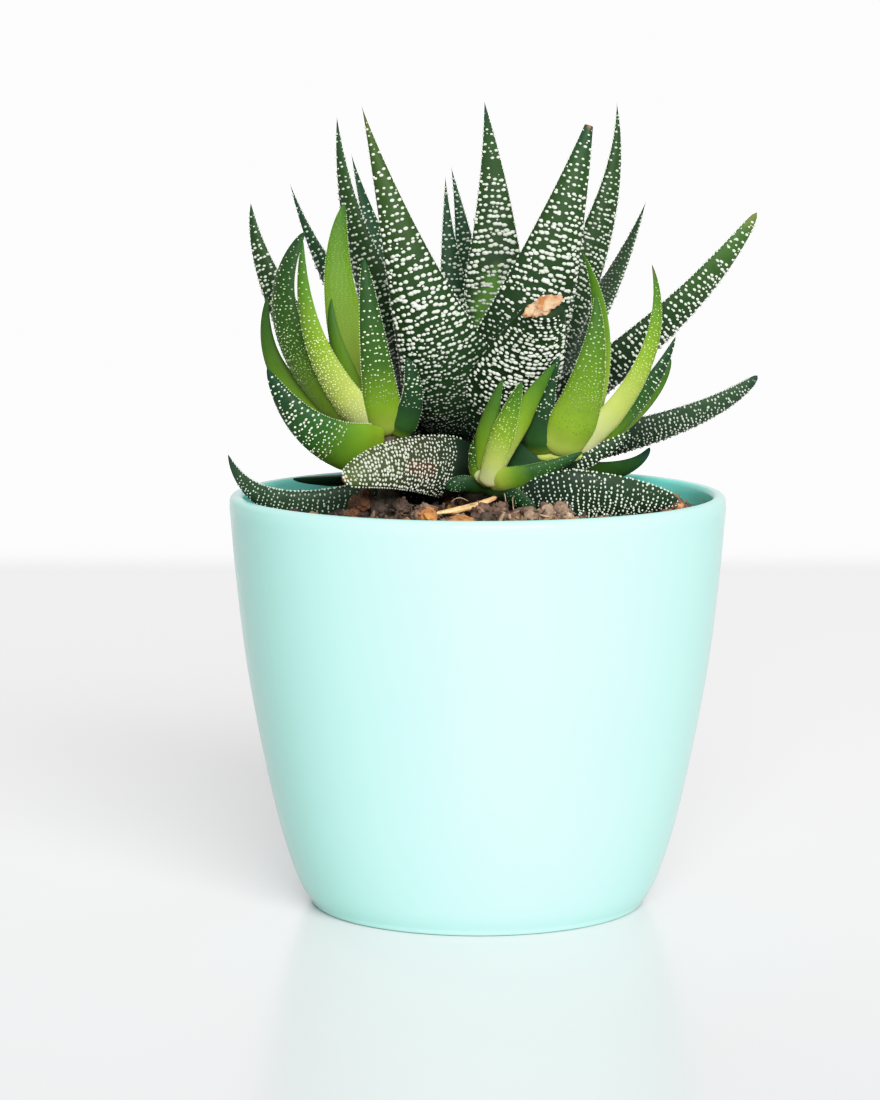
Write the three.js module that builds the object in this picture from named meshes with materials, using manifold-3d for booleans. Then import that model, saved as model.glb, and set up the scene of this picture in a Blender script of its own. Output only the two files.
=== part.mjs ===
// Potted haworthia: a leafy rosette with three offsets, in soil, in a glazed ceramic pot.
// Millimetres, +Z up. The origin is the centre of the pot's flat underside, and the front faces -Y.
import * as THREE from 'three';
import { mergeVertices } from 'three/addons/utils/BufferGeometryUtils.js';
import Module from 'manifold-3d';

const wasm = await Module();
wasm.setup();

// Driving dimensions
const POT_FOOT_RADIUS = 28.9;
const POT_LIP_RADIUS = 42.5;
const POT_HEIGHT = 71;
const POT_WALL = 2.45;
const POT_FLOOR = 4;
const POT_FOOT_ROUNDING = 0.8;
const POT_INNER_FOOT_RISE = 3;
// The wall bulges gently from the foot to just under the lip: radius and height
const POT_OUTLINE = [
  [POT_FOOT_RADIUS, POT_FOOT_ROUNDING],
  [31.1, 4.5],
  [34.2, 14],
  [37.4, 28.5],
  [39.9, 43],
  [41.6, 58],
  [POT_LIP_RADIUS, POT_HEIGHT - 2.5],
];
const LATHE_SIDES = 40;
const WALL_STEPS = 9;
const LIP_STEPS = 3;

const SOIL_GAP = 0.4;
const SOIL_EDGE_HEIGHT = 67.4;
const SOIL_EDGE_DROP = 2;
const SOIL_MOUND = 1.2;
const SOIL_ROUGHNESS = 0.3;
const SOIL_RINGS = 7;

const STEM_FOOT_HEIGHT = 56;
const STEM_END_LENGTH = 3;
const STEM_SIDES = 14;
const STEM_HOLE_GAP = 0.5;
const STEM_HOLE_TOP = 80;

const TUBERCLE_HEIGHT = 0.45;
const TUBERCLE_FULL_WIDTH = 6;
const TUBERCLE_FIRST_ROW = 4;
const LEAF_THICKNESS = 0.36;
const LEAF_OUTER_SHARE = 0.68;
const LEAF_BASE_WIDTH = 0.82;
const LEAF_BELLY = 0.2;
const LEAF_BASE_DEPTH = 0.6;
const LEAF_DEPTH_BELLY = 0.15;
const LEAF_DEPTH_TAPER = 0.85;
const LEAF_TIP_RING = 0.965;
const STEEP_RISE = 70;
const STEEP_ROOT_PULL_IN = 0.4;

const LARGE_LEAF = { stations: 14, around: 10 };
const PLAIN_LEAF = { stations: 11, around: 8 };
const SMALL_LEAF = { stations: 10, around: 8 };

const CHIP_REST_GAP = 0.4;
const RANDOM_SEED = 20461;

// Colours, roughness and metalness of the parts
function material(color, roughness) {
  return new THREE.MeshStandardMaterial({ color, roughness, metalness: 0 });
}

const GLAZE = () => material(0xb4ece0, 0.12);
const SOIL = () => material(0x3b2a20, 0.95);
const DARK_LEAF = () => material(0x2f5233, 0.55);
const MID_LEAF = () => material(0x5c8c34, 0.5);
const YOUNG_LEAF = () => material(0x93bd42, 0.5);
const BARK = () => material(0x96602f, 0.9);
const DRY_BARK = () => material(0xc7a06c, 0.9);

// The rosettes: centre of the crown, stem radius, and the heights of the lowest and highest leaf roots
const MAIN = { at: [0.5, 2], stem: 5, rootReach: 3, low: 74, high: 82 };
const LEFT = { at: [-15, -13], stem: 2.6, rootReach: 1.8, low: 77.5, high: 82 };
const RIGHT = { at: [14, -13], stem: 2.6, rootReach: 1.8, low: 73, high: 81 };
const FRONT = { at: [2.1, -12.5], stem: 1.9, rootReach: 1.2, low: 72.5, high: 75.5 };

// One leaf: its tip, the point its curve leans towards, the way its outer face looks
// (azimuth and elevation in degrees), its width, and how full it stays towards the tip.
// A leaf with a cut below 1 ends there in a flat callus.
function leaf(tip, pull, face, width, options = {}) {
  return { tip, pull, face, width, fullness: 1.15, cut: 1, thickness: LEAF_THICKNESS, ...options };
}

const MAIN_LEAVES = [
  leaf([-19.5, -12, 137], [-9.5, -20, 101], [262, 0], 18),
  leaf([-24, 4, 135], [-20.5, 0, 105.5], [215, 0], 12.5),
  leaf([-22, 20, 128.5], [-16, 22, 102.5], [120, 0], 11),
  leaf([-32.5, 14, 123.5], [-25, 12, 99.5], [215, 0], 13),
  leaf([1.5, 12, 137.5], [4, 16, 111.5], [90, 0], 14),
  leaf([18.5, -6, 133.5], [12.5, -12, 110.5], [282, 0], 17, { fullness: 1.1, cut: 0.91 }),
  leaf([24, 12, 137.5], [26, 12, 114.5], [300, 0], 12),
  leaf([30, 26, 120], [22.5, 26, 98], [35, 0], 11.5),
  leaf([47, -4, 119], [34, -6, 98.5], [290, -40], 9.5, { fullness: 0.6 }),
  leaf([49, 14, 90], [40, 14, 80.5], [290, -40], 7.5, { fullness: 0.5 }),
  leaf([10.5, -30, 104.5], [8.5, -14, 96.5], [275, -10], 17, { fullness: 0.9, cut: 0.72 }),
  leaf([-22.5, -28, 76], [-13, -28, 81], [262, 5], 10.5, { fullness: 0.45 }),
];

const MAIN_SIDE_LEAVES = [
  leaf([-5.5, 24, 124.5], [-5, 24, 102.5], [100, 0], 9),
  leaf([-4.5, 32, 126], [0, 32, 104], [80, 0], 10),
  leaf([3.5, 22, 126.5], [6, 22, 104.5], [70, 0], 12),
  leaf([30.5, 18, 77], [27, 18, 70], [20, -60], 8, { fullness: 0.6 }),
  leaf([-32, 8, 72.5], [-23.5, 6, 72.5], [190, -60], 7, { fullness: 0.6 }),
  leaf([-42.5, -4, 78], [-37.5, -10, 67.5], [265, -45], 7, { fullness: 0.55, thickness: 0.4 }),
];

const LEFT_LEAVES = [
  leaf([-22.5, -6, 120.5], [-26.5, -9, 106], [100, 0], 7.8, { fullness: 0.5 }),
  leaf([-29, -11, 116], [-40, -13, 99.5], [215, 0], 7, { fullness: 0.5 }),
  leaf([-29, -19, 115], [-30.5, -21, 95.5], [240, 0], 6.3, { fullness: 0.7 }),
  leaf([-19, -20, 112], [-17.5, -22, 97], [280, 0], 6, { fullness: 0.4 }),
  leaf([-24.5, -13, 105], [-25.5, -14, 97], [240, 0], 3.5, { fullness: 0.6 }),
  leaf([-12, -18, 95.5], [-10.5, -18, 88.5], [285, 0], 4.8, { fullness: 0.5 }),
  leaf([-35.5, -6, 105], [-38.5, -6, 87.5], [200, 0], 4, { fullness: 0.6 }),
  leaf([-35, -21, 94], [-29, -24, 80.5], [245, -10], 10, { fullness: 0.7 }),
  leaf([-38.5, -1, 120.5], [-41, -1, 100.5], [210, 0], 5, { fullness: 0.8 }),
  leaf([-27, 0, 88], [-20, -4, 80], [130, -10], 6.5, { fullness: 0.8 }),
  leaf([-16, -2, 92], [-15, -6, 84], [90, 0], 6, { fullness: 0.8 }),
];

const RIGHT_LEAVES = [
  leaf([17, -16, 113], [24.5, -14, 98], [60, 0], 6.2, { fullness: 0.9 }),
  leaf([19, -22, 107], [20.5, -23, 94.5], [285, 0], 7.2, { fullness: 0.95 }),
  leaf([28.5, -18, 111], [33, -19, 95], [300, 0], 4, { fullness: 0.7 }),
  leaf([33, -11, 98.5], [28.5, -12, 87], [300, -20], 3.8, { fullness: 0.6 }),
  leaf([32.5, -7, 94.5], [30.5, -8, 86.5], [300, -20], 3.4, { fullness: 0.6 }),
  leaf([14.5, -24, 98], [13, -22, 91.5], [250, 0], 6, { fullness: 0.6 }),
  leaf([33.5, -15, 71], [19.5, -24, 72.5], [275, -35], 8.8, { fullness: 0.45, thickness: 0.4 }),
];

const FRONT_LEAVES = [
  leaf([4, -22, 92.5], [2, -20, 86.5], [250, 0], 2.9, { fullness: 0.6 }),
  leaf([7, -25, 92], [5, -22, 85], [260, 0], 2.8, { fullness: 0.6 }),
  leaf([12.5, -24, 95], [6.5, -22, 87], [290, 0], 3.3, { fullness: 0.5 }),
  leaf([26, -18, 81.5], [14, -22.5, 79], [280, -30], 4.8, { fullness: 0.5 }),
  leaf([1, -17, 86.5], [-1, -16, 80.5], [230, 0], 2.8, { fullness: 0.6 }),
  leaf([-5.5, -17, 73.5], [-3, -18, 75.5], [240, -10], 4, { fullness: 0.5 }),
];

// The back of the rosette: leaves fanned over the arc that the front hides, in three tiers in turn.
// Each curve leans towards a point at these shares of the leaf's reach and lift.
const BACK_FAN = { count: 9, first: 50, step: 12, length: 42, width: 12, reachShare: 0.75, liftShare: 0.35 };
const BACK_RISES = [60, 16, 42];

// The two youngest leaves stand in the heart of the rosette
const HEART_LEAVES = [
  leaf([-2, 5, 106], [-3, 6, 94], [150, 0], 6),
  leaf([4, 3, 102], [4, 3, 92], [330, 0], 6),
];

// Loose bark on the soil: place, turn in degrees, and size along, across and up
const BARK_CHIPS = [
  { at: [-9, -13.5], turn: 20, size: [3.6, 2.2, 1.2] },
  { at: [-20.5, -18], turn: 55, size: [3, 2, 1.4] },
  { at: [-21, -10.5], turn: 130, size: [3.2, 2.4, 2.6] },
  { at: [7, -21.5], turn: 10, size: [3.4, 2.4, 1.8] },
  { at: [11.5, -25.5], turn: 60, size: [3, 2, 1.4] },
  { at: [-3, -27], turn: 150, size: [4, 2.4, 1.2] },
  { at: [-19, 23], turn: 40, size: [4.4, 3, 1.6] },
  { at: [9, 31], turn: 100, size: [4, 2.6, 1.5] },
  { at: [33, 4], turn: 15, size: [3.6, 2.4, 1.4] },
];
const SPLINTER = { at: [-2, -18.8], turn: 24, size: [11.5, 1.5, 0.9], bend: 0.5 };
// How far a flake narrows to its ends, and how far its corners are moved about
const FLAKE_TAPER = 0.45;
const FLAKE_WEAR = [0.12, 0.25, 0.35];
const LONG_FLAKE = 6;

// A steady stream of numbers from 0 to 1, the same on every run
function randomStream(seed) {
  let state = seed;
  return () => {
    state = (state * 16807) % 2147483647;
    return state / 2147483647;
  };
}

function solidFrom(geometry) {
  const bare = geometry.clone();
  bare.deleteAttribute('normal');
  bare.deleteAttribute('uv');
  const merged = mergeVertices(bare);
  return new wasm.Manifold(new wasm.Mesh({
    numProp: 3,
    vertProperties: new Float32Array(merged.attributes.position.array),
    triVerts: new Uint32Array(merged.index.array),
  }));
}

function geometryFrom(solid) {
  const mesh = solid.getMesh();
  const geometry = new THREE.BufferGeometry();
  geometry.setAttribute('position', new THREE.BufferAttribute(mesh.vertProperties, 3));
  geometry.setIndex(new THREE.BufferAttribute(mesh.triVerts, 1));
  geometry.computeVertexNormals();
  return geometry;
}

function namedMesh(name, geometry, finish) {
  const mesh = new THREE.Mesh(geometry, finish);
  mesh.name = name;
  return mesh;
}

function upright(geometry) {
  return geometry.rotateX(Math.PI / 2);
}

const WALL_CURVE = new THREE.SplineCurve(POT_OUTLINE.map((point) => new THREE.Vector2(...point)));

function innerWall(extraGap) {
  return WALL_CURVE.getPoints(WALL_STEPS)
    .filter((point) => point.y > POT_FLOOR + POT_INNER_FOOT_RISE)
    .map((point) => new THREE.Vector2(point.x - POT_WALL - extraGap, point.y));
}

function potGeometry() {
  const lipRadius = POT_WALL / 2;
  const lipCentre = new THREE.Vector2(POT_LIP_RADIUS - lipRadius, POT_HEIGHT - lipRadius);
  const lip = new THREE.Path().absarc(lipCentre.x, lipCentre.y, lipRadius, 0, Math.PI, false);
  const profile = [
    new THREE.Vector2(0, 0),
    new THREE.Vector2(POT_FOOT_RADIUS - POT_FOOT_ROUNDING, 0),
    ...WALL_CURVE.getPoints(WALL_STEPS),
    ...lip.getPoints(LIP_STEPS),
    ...innerWall(0).reverse(),
    new THREE.Vector2(POT_FOOT_RADIUS - POT_WALL, POT_FLOOR),
    new THREE.Vector2(0, POT_FLOOR),
  ];
  return upright(new THREE.LatheGeometry(profile, LATHE_SIDES));
}

// Height of the soil: a low mound with clods
function soilHeight(x, y) {
  const out = Math.min(1, Math.hypot(x, y) / POT_LIP_RADIUS);
  const clods = Math.sin(0.9 * x + 1.3) * Math.cos(1.1 * y + 0.4) + Math.sin(0.5 * x - 0.7 * y);
  return SOIL_EDGE_HEIGHT + SOIL_MOUND * (1 - out * out) + SOIL_ROUGHNESS * clods * (1 - out ** 4);
}

function stemHole(rosette) {
  const radius = rosette.stem + STEM_HOLE_GAP;
  const bottom = STEM_FOOT_HEIGHT - STEM_HOLE_GAP;
  const hole = new THREE.CylinderGeometry(radius, radius, STEM_HOLE_TOP - bottom, STEM_SIDES);
  upright(hole).translate(...rosette.at, (STEM_HOLE_TOP + bottom) / 2);
  return solidFrom(hole);
}

function soilGeometry() {
  const side = innerWall(SOIL_GAP).filter((point) => point.y < SOIL_EDGE_HEIGHT - SOIL_EDGE_DROP);
  const rim = side.at(-1).x;
  const profile = [
    new THREE.Vector2(0, POT_FLOOR + SOIL_GAP),
    new THREE.Vector2(POT_FOOT_RADIUS - POT_WALL - SOIL_GAP, POT_FLOOR + SOIL_GAP),
    ...side,
  ];
  for (let ring = 0; ring <= SOIL_RINGS; ring += 1) {
    profile.push(new THREE.Vector2(rim * (1 - ring / SOIL_RINGS), SOIL_EDGE_HEIGHT));
  }
  const geometry = upright(new THREE.LatheGeometry(profile, LATHE_SIDES));
  const position = geometry.attributes.position;
  for (let i = 0; i < position.count; i += 1) {
    if (position.getZ(i) > side.at(-1).y) {
      position.setZ(i, soilHeight(position.getX(i), position.getY(i)));
    }
  }
  const holes = [MAIN, LEFT, RIGHT, FRONT].map(stemHole);
  return geometryFrom(holes.reduce((solid, hole) => solid.subtract(hole), solidFrom(geometry)));
}

// Width of a leaf along its length, as a share of its full width
function leafOutline(along, fullness) {
  if (along < LEAF_BELLY) {
    return LEAF_BASE_WIDTH + (1 - LEAF_BASE_WIDTH) * (along / LEAF_BELLY);
  }
  return ((1 - along) / (1 - LEAF_BELLY)) ** fullness;
}

// A leaf roots on the side of the crown that its curve leans to, and steeper leaves root higher
function leafRoot(rosette, shape) {
  const out = new THREE.Vector2(shape.pull[0] - rosette.at[0], shape.pull[1] - rosette.at[1]).normalize();
  const run = Math.hypot(shape.tip[0] - rosette.at[0], shape.tip[1] - rosette.at[1]);
  const rise = THREE.MathUtils.radToDeg(Math.atan2(shape.tip[2] - rosette.low, run));
  const steepness = THREE.MathUtils.clamp(rise / STEEP_RISE, 0, 1);
  const reach = rosette.rootReach * (1 - STEEP_ROOT_PULL_IN * steepness);
  return new THREE.Vector3(
    rosette.at[0] + reach * out.x,
    rosette.at[1] + reach * out.y,
    THREE.MathUtils.lerp(rosette.low, rosette.high, steepness),
  );
}

function faceDirection([azimuth, elevation]) {
  const turn = THREE.MathUtils.degToRad(azimuth);
  const lift = THREE.MathUtils.degToRad(elevation);
  return new THREE.Vector3(
    Math.cos(turn) * Math.cos(lift),
    Math.sin(turn) * Math.cos(lift),
    Math.sin(lift),
  );
}

// A leaf is a closed tube of keeled sections along a curve, with tubercles raised on it in
// staggered cross bands: every other point of a section stands out, and the next section swaps them
function leafGeometry(rosette, shape, quality) {
  const { stations, around } = quality;
  const curve = new THREE.QuadraticBezierCurve3(
    leafRoot(rosette, shape),
    new THREE.Vector3(...shape.pull),
    new THREE.Vector3(...shape.tip),
  );
  const facing = faceDirection(shape.face);
  const lastRing = shape.cut < 1 ? 1 : LEAF_TIP_RING;
  const geometry = new THREE.SphereGeometry(1, around, stations);
  const { position, uv } = geometry.attributes;
  for (let i = 0; i < position.count; i += 1) {
    const row = Math.round((1 - uv.getY(i)) * stations);
    const corner = Math.round(uv.getX(i) * around) % around;
    const isPole = row === 0 || row === stations;
    const along = row === stations ? 1 : lastRing * Math.max(0, row - 1) / (stations - 2);
    const share = isPole ? 0 : leafOutline(along * shape.cut, shape.fullness);
    const width = shape.width * share;
    const belly = THREE.MathUtils.lerp(LEAF_BASE_DEPTH, 1, Math.min(1, along / LEAF_DEPTH_BELLY));
    const depth = shape.width * shape.thickness * belly * share ** LEAF_DEPTH_TAPER;
    const isRaised = (row + corner) % 2 === 0 && row >= TUBERCLE_FIRST_ROW && row < stations - 1;
    const bump = isRaised ? TUBERCLE_HEIGHT * Math.min(1, width / TUBERCLE_FULL_WIDTH) : 0;
    const tangent = curve.getTangent(along);
    const outward = facing.clone().addScaledVector(tangent, -facing.dot(tangent)).normalize();
    const sideways = new THREE.Vector3().crossVectors(tangent, outward);
    const turn = 2 * Math.PI * corner / around;
    const lift = Math.sin(turn);
    const faceShare = lift > 0 ? LEAF_OUTER_SHARE : 1 - LEAF_OUTER_SHARE;
    const point = curve.getPoint(along)
      .addScaledVector(sideways, Math.cos(turn) * (width / 2 + bump))
      .addScaledVector(outward, lift * (faceShare * depth + bump));
    position.setXYZ(i, point.x, point.y, point.z);
  }
  return geometry;
}

function stemGeometry(rosette) {
  const height = rosette.high - STEM_FOOT_HEIGHT;
  const profile = [
    new THREE.Vector2(0, 0),
    new THREE.Vector2(rosette.stem * 0.7, 0),
    new THREE.Vector2(rosette.stem, STEM_END_LENGTH),
    new THREE.Vector2(rosette.stem, height - STEM_END_LENGTH),
    new THREE.Vector2(rosette.stem * 0.6, height - 0.5),
    new THREE.Vector2(0, height),
  ];
  const stem = upright(new THREE.LatheGeometry(profile, STEM_SIDES));
  return stem.translate(...rosette.at, STEM_FOOT_HEIGHT);
}

// Leaves and stem grow as one body; what their joining would seal or leave loose is not kept
function rosetteGeometry(rosette, ...tiers) {
  let plant = solidFrom(stemGeometry(rosette));
  for (const { leaves, quality } of tiers) {
    for (const shape of leaves) {
      plant = plant.add(solidFrom(leafGeometry(rosette, shape, quality)));
    }
  }
  const bodies = plant.decompose().sort((a, b) => b.volume() - a.volume());
  return geometryFrom(bodies[0]);
}

function backLeaves() {
  const leaves = [];
  for (let k = 0; k < BACK_FAN.count; k += 1) {
    const azimuth = BACK_FAN.first + BACK_FAN.step * k;
    const turn = THREE.MathUtils.degToRad(azimuth);
    const rise = THREE.MathUtils.degToRad(BACK_RISES[k % BACK_RISES.length]);
    const reach = BACK_FAN.length * Math.cos(rise);
    const lift = BACK_FAN.length * Math.sin(rise);
    const at = (share, height) => [
      MAIN.at[0] + share * reach * Math.cos(turn),
      MAIN.at[1] + share * reach * Math.sin(turn),
      MAIN.low + height,
    ];
    const pull = at(BACK_FAN.reachShare, BACK_FAN.liftShare * lift);
    leaves.push(leaf(at(1, lift), pull, [azimuth, -20], BACK_FAN.width, { fullness: 0.9 }));
  }
  return leaves;
}

// A rough flake of bark: a slab whose corners are moved about and which may bend up at its ends
function chipGeometry({ at, turn, size, bend = 0 }, random) {
  const [length, width, height] = size;
  const geometry = new THREE.BoxGeometry(length, width, height, length > LONG_FLAKE ? 6 : 3, 2, 1);
  geometry.deleteAttribute('normal');
  geometry.deleteAttribute('uv');
  const flake = mergeVertices(geometry);
  const position = flake.attributes.position;
  for (let i = 0; i < position.count; i += 1) {
    const x = position.getX(i);
    const y = position.getY(i);
    const taper = 1 - FLAKE_TAPER * (2 * x / length) ** 2;
    const lift = bend * (2 * x / length) ** 2;
    position.setXYZ(
      i,
      x * (1 - FLAKE_WEAR[0] * random()),
      y * taper * (1 - FLAKE_WEAR[1] * random()),
      position.getZ(i) * (1 - FLAKE_WEAR[2] * random()) + lift,
    );
  }
  const rest = Math.max(...[-0.5, 0, 0.5].map((share) => {
    const heading = THREE.MathUtils.degToRad(turn);
    return soilHeight(at[0] + share * length * Math.cos(heading), at[1] + share * length * Math.sin(heading));
  }));
  flake.rotateZ(THREE.MathUtils.degToRad(turn));
  flake.translate(at[0], at[1], rest + CHIP_REST_GAP + height / 2);
  flake.computeVertexNormals();
  return flake;
}

const plantInPot = new THREE.Group();
plantInPot.add(namedMesh('pot', potGeometry(), GLAZE()));
plantInPot.add(namedMesh('soil', soilGeometry(), SOIL()));
plantInPot.add(namedMesh('main_rosette', rosetteGeometry(
  MAIN,
  { leaves: MAIN_LEAVES, quality: LARGE_LEAF },
  { leaves: [...MAIN_SIDE_LEAVES, ...backLeaves()], quality: PLAIN_LEAF },
  { leaves: HEART_LEAVES, quality: SMALL_LEAF },
), DARK_LEAF()));
plantInPot.add(namedMesh('left_offset', rosetteGeometry(
  LEFT,
  { leaves: LEFT_LEAVES, quality: SMALL_LEAF },
), MID_LEAF()));
plantInPot.add(namedMesh('right_offset', rosetteGeometry(
  RIGHT,
  { leaves: RIGHT_LEAVES, quality: SMALL_LEAF },
), MID_LEAF()));
plantInPot.add(namedMesh('front_offset', rosetteGeometry(
  FRONT,
  { leaves: FRONT_LEAVES, quality: SMALL_LEAF },
), YOUNG_LEAF()));

const random = randomStream(RANDOM_SEED);
BARK_CHIPS.forEach((chip, index) => {
  plantInPot.add(namedMesh(`bark_chip_${index + 1}`, chipGeometry(chip, random), BARK()));
});
plantInPot.add(namedMesh('splinter', chipGeometry(SPLINTER, random), DRY_BARK()));

export default plantInPot;
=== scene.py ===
"""Looks of a potted haworthia: a glazed pot, bark soil, a warty rosette and its three offsets."""

import logging
import math
import random
from dataclasses import dataclass
from enum import Enum

import bmesh
import bpy
from mathutils import Matrix, Vector, noise


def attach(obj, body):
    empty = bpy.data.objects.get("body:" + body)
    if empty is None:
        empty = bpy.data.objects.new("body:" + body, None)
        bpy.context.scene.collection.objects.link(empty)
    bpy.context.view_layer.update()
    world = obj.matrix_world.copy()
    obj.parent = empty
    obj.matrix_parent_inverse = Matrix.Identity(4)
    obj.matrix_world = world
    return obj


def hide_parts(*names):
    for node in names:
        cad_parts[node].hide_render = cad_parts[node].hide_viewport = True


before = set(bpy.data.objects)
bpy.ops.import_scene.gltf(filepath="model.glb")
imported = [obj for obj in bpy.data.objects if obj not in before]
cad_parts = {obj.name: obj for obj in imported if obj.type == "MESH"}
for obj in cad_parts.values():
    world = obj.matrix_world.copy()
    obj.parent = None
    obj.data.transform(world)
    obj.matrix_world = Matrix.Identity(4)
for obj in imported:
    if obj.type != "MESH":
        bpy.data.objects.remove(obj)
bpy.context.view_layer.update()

MM = 0.001
BODY = "root"
log = logging.getLogger("haworthia")

Screen = tuple[int, int, int]
Colour = tuple[float, float, float]
Point = tuple[float, float, float]
Pair = tuple[float, float]
Three = tuple[float, float, float]
Material = bpy.types.Material
Socket = bpy.types.NodeSocket
MERGE = 0.01 * MM


def srgb(red: int, green: int, blue: int) -> Colour:
    """Turns a colour written as 0 to 255 screen values into Blender's linear values.

    Args:
        red: the red channel.
        green: the green channel.
        blue: the blue channel.

    Returns:
        The linear colour.
    """
    def linear(value: int) -> float:
        """One channel."""
        share = value / 255
        return share / 12.92 if share <= 0.04045 else ((share + 0.055) / 1.055) ** 2.4
    return linear(red), linear(green), linear(blue)


def palette(*screens: Screen) -> tuple[Colour, ...]:
    """Turns several screen colours into linear ones."""
    return tuple(srgb(*screen) for screen in screens)


def mix(first: Colour, second: Colour, share: float) -> Colour:
    """A colour that lies between two others."""
    return tuple(a + (b - a) * share for a, b in zip(first, second))


def smooth(low: float, high: float, value: float) -> float:
    """Rises softly from 0 at low to 1 at high."""
    share = min(1.0, max(0.0, (value - low) / (high - low)))
    return share * share * (3 - 2 * share)


def between(three: Three, share: float) -> float:
    """Reads a value given at the start, the middle and the end.

    Args:
        three: the three values.
        share: where to read, from 0 to 1.

    Returns:
        The value there.
    """
    start, middle, end = three
    if share < 0.5:
        return start + (middle - start) * share * 2
    return middle + (end - middle) * (share * 2 - 1)


def add_object(name: str, data: bpy.types.ID) -> bpy.types.Object:
    """Puts a mesh, a light or a camera into the scene.

    Args:
        name: the object's name.
        data: the mesh, the light or the camera.

    Returns:
        Its object.
    """
    thing = bpy.data.objects.new(name, data)
    bpy.context.scene.collection.objects.link(thing)
    return thing


def spin_section(shape: bmesh.types.BMesh, section: list[Pair], steps: int) -> None:
    """Spins a section round the Z axis into a closed body.

    Args:
        shape: the bmesh that it is made in.
        section: radii and heights in millimetres, from axis to axis.
        steps: how many steps the full turn has.
    """
    chain = [shape.verts.new((radius * MM, 0.0, height * MM)) for radius, height in section]
    edges = [shape.edges.new(pair) for pair in zip(chain, chain[1:])]
    bmesh.ops.spin(
        shape, geom=[*chain, *edges], cent=(0, 0, 0), axis=(0, 0, 1), angle=2 * math.pi,
        steps=steps, use_merge=True,
    )
    bmesh.ops.remove_doubles(shape, verts=shape.verts, dist=MERGE)


# The Mix node's sockets for colours, which share their names with its other sockets
MIX_SHARE = 0
MIX_FIRST = 6
MIX_SECOND = 7
MIX_RESULT = 2


class NodeBench:
    """A material under construction, with short ways to add and join its nodes."""

    def __init__(self, name: str) -> None:
        """Starts a material with nothing but a Principled shader and its output."""
        self.material = bpy.data.materials.new(name)
        self.material.use_nodes = True
        self.tree = self.material.node_tree
        self.shader = self.tree.nodes["Principled BSDF"]

    def add(self, kind: str, **settings: object) -> bpy.types.Node:
        """Adds a node.

        Args:
            kind: the node's type, without its ShaderNode prefix.
            settings: properties by name, and socket values under the socket's name with spaces as _.

        Returns:
            The new node.
        """
        node = self.tree.nodes.new(f"ShaderNode{kind}")
        for key, value in settings.items():
            socket = node.inputs.get(key.replace("_", " "))
            if socket is not None:
                socket.default_value = value
            else:
                setattr(node, key, value)
        return node

    def join(self, source: Socket, target: Socket) -> None:
        """Links an output to an input."""
        self.tree.links.new(source, target)

    def feed(self, source: Socket, name: str) -> None:
        """Links an output to one of the Principled shader's sockets."""
        self.join(source, self.shader.inputs[name])

    def set(self, **values: object) -> None:
        """Sets constants on the Principled shader's own sockets."""
        for key, value in values.items():
            self.shader.inputs[key.replace("_", " ")].default_value = value

    def object_place(self) -> Socket:
        """The place on the piece, in its own coordinates."""
        return self.add("TexCoord").outputs["Object"]

    def object_noise(self, scale: float, detail: float) -> Socket:
        """A noise pattern fixed to the piece.

        Args:
            scale: its cells per metre.
            detail: its octaves.

        Returns:
            The pattern, from 0 to 1.
        """
        cloud = self.add("TexNoise", Scale=scale, Detail=detail)
        self.join(self.object_place(), cloud.inputs["Vector"])
        return cloud.outputs["Fac"]

    def ramp(self, source: Socket, start: float, end: float, low: float, high: float,
             **settings: object) -> Socket:
        """Turns a value from start..end into low..high and holds it beyond them.

        Args:
            source: the value.
            start: the value that becomes low.
            end: the value that becomes high.
            low: the result at start.
            high: the result at end.
            settings: more properties of the node.

        Returns:
            The result.
        """
        node = self.add("MapRange", From_Min=start, From_Max=end, To_Min=low, To_Max=high, **settings)
        self.join(source, node.inputs["Value"])
        return node.outputs["Result"]

    def spread(self, pattern: Socket, low: float, high: float) -> Socket:
        """Stretches a pattern from 0..1 to low..high."""
        return self.ramp(pattern, 0.0, 1.0, low, high)

    def blend(self, kind: str, share: object, first: object, second: object) -> Socket:
        """Mixes two colours.

        Args:
            kind: Blender's blend type, such as MIX or MULTIPLY.
            share: a number or a socket.
            first: a colour or a socket.
            second: a colour or a socket.

        Returns:
            The mixed colour.
        """
        node = self.add("Mix", data_type="RGBA", blend_type=kind)
        for slot, value in ((MIX_SHARE, share), (MIX_FIRST, first), (MIX_SECOND, second)):
            if isinstance(value, Socket):
                self.join(value, node.inputs[slot])
            elif slot == MIX_SHARE:
                node.inputs[slot].default_value = value
            else:
                node.inputs[slot].default_value = (*value, 1.0)
        return node.outputs[MIX_RESULT]

    def paint_tone(self, factor: Socket) -> None:
        """Colours the surface by its "tone" attribute times another colour."""
        tone = self.add("Attribute", attribute_name="tone").outputs["Color"]
        self.feed(self.blend("MULTIPLY", 1.0, tone, factor), "Base Color")

    def grey(self, shade: Socket) -> Socket:
        """Turns a number into a grey.

        Args:
            shade: the number.

        Returns:
            The grey.
        """
        node = self.add("CombineColor")
        for channel in ("Red", "Green", "Blue"):
            self.join(shade, node.inputs[channel])
        return node.outputs["Color"]

    def relief(self, height: Socket, depth: float, strength: float) -> None:
        """Turns a pattern into bumps.

        Args:
            height: the pattern.
            depth: how deep the bumps are, in metres.
            strength: how strongly they show, from 0 to 1.
        """
        bump = self.add("Bump", Strength=strength, Distance=depth)
        self.join(height, bump.inputs["Height"])
        self.feed(bump.outputs["Normal"], "Normal")


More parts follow.
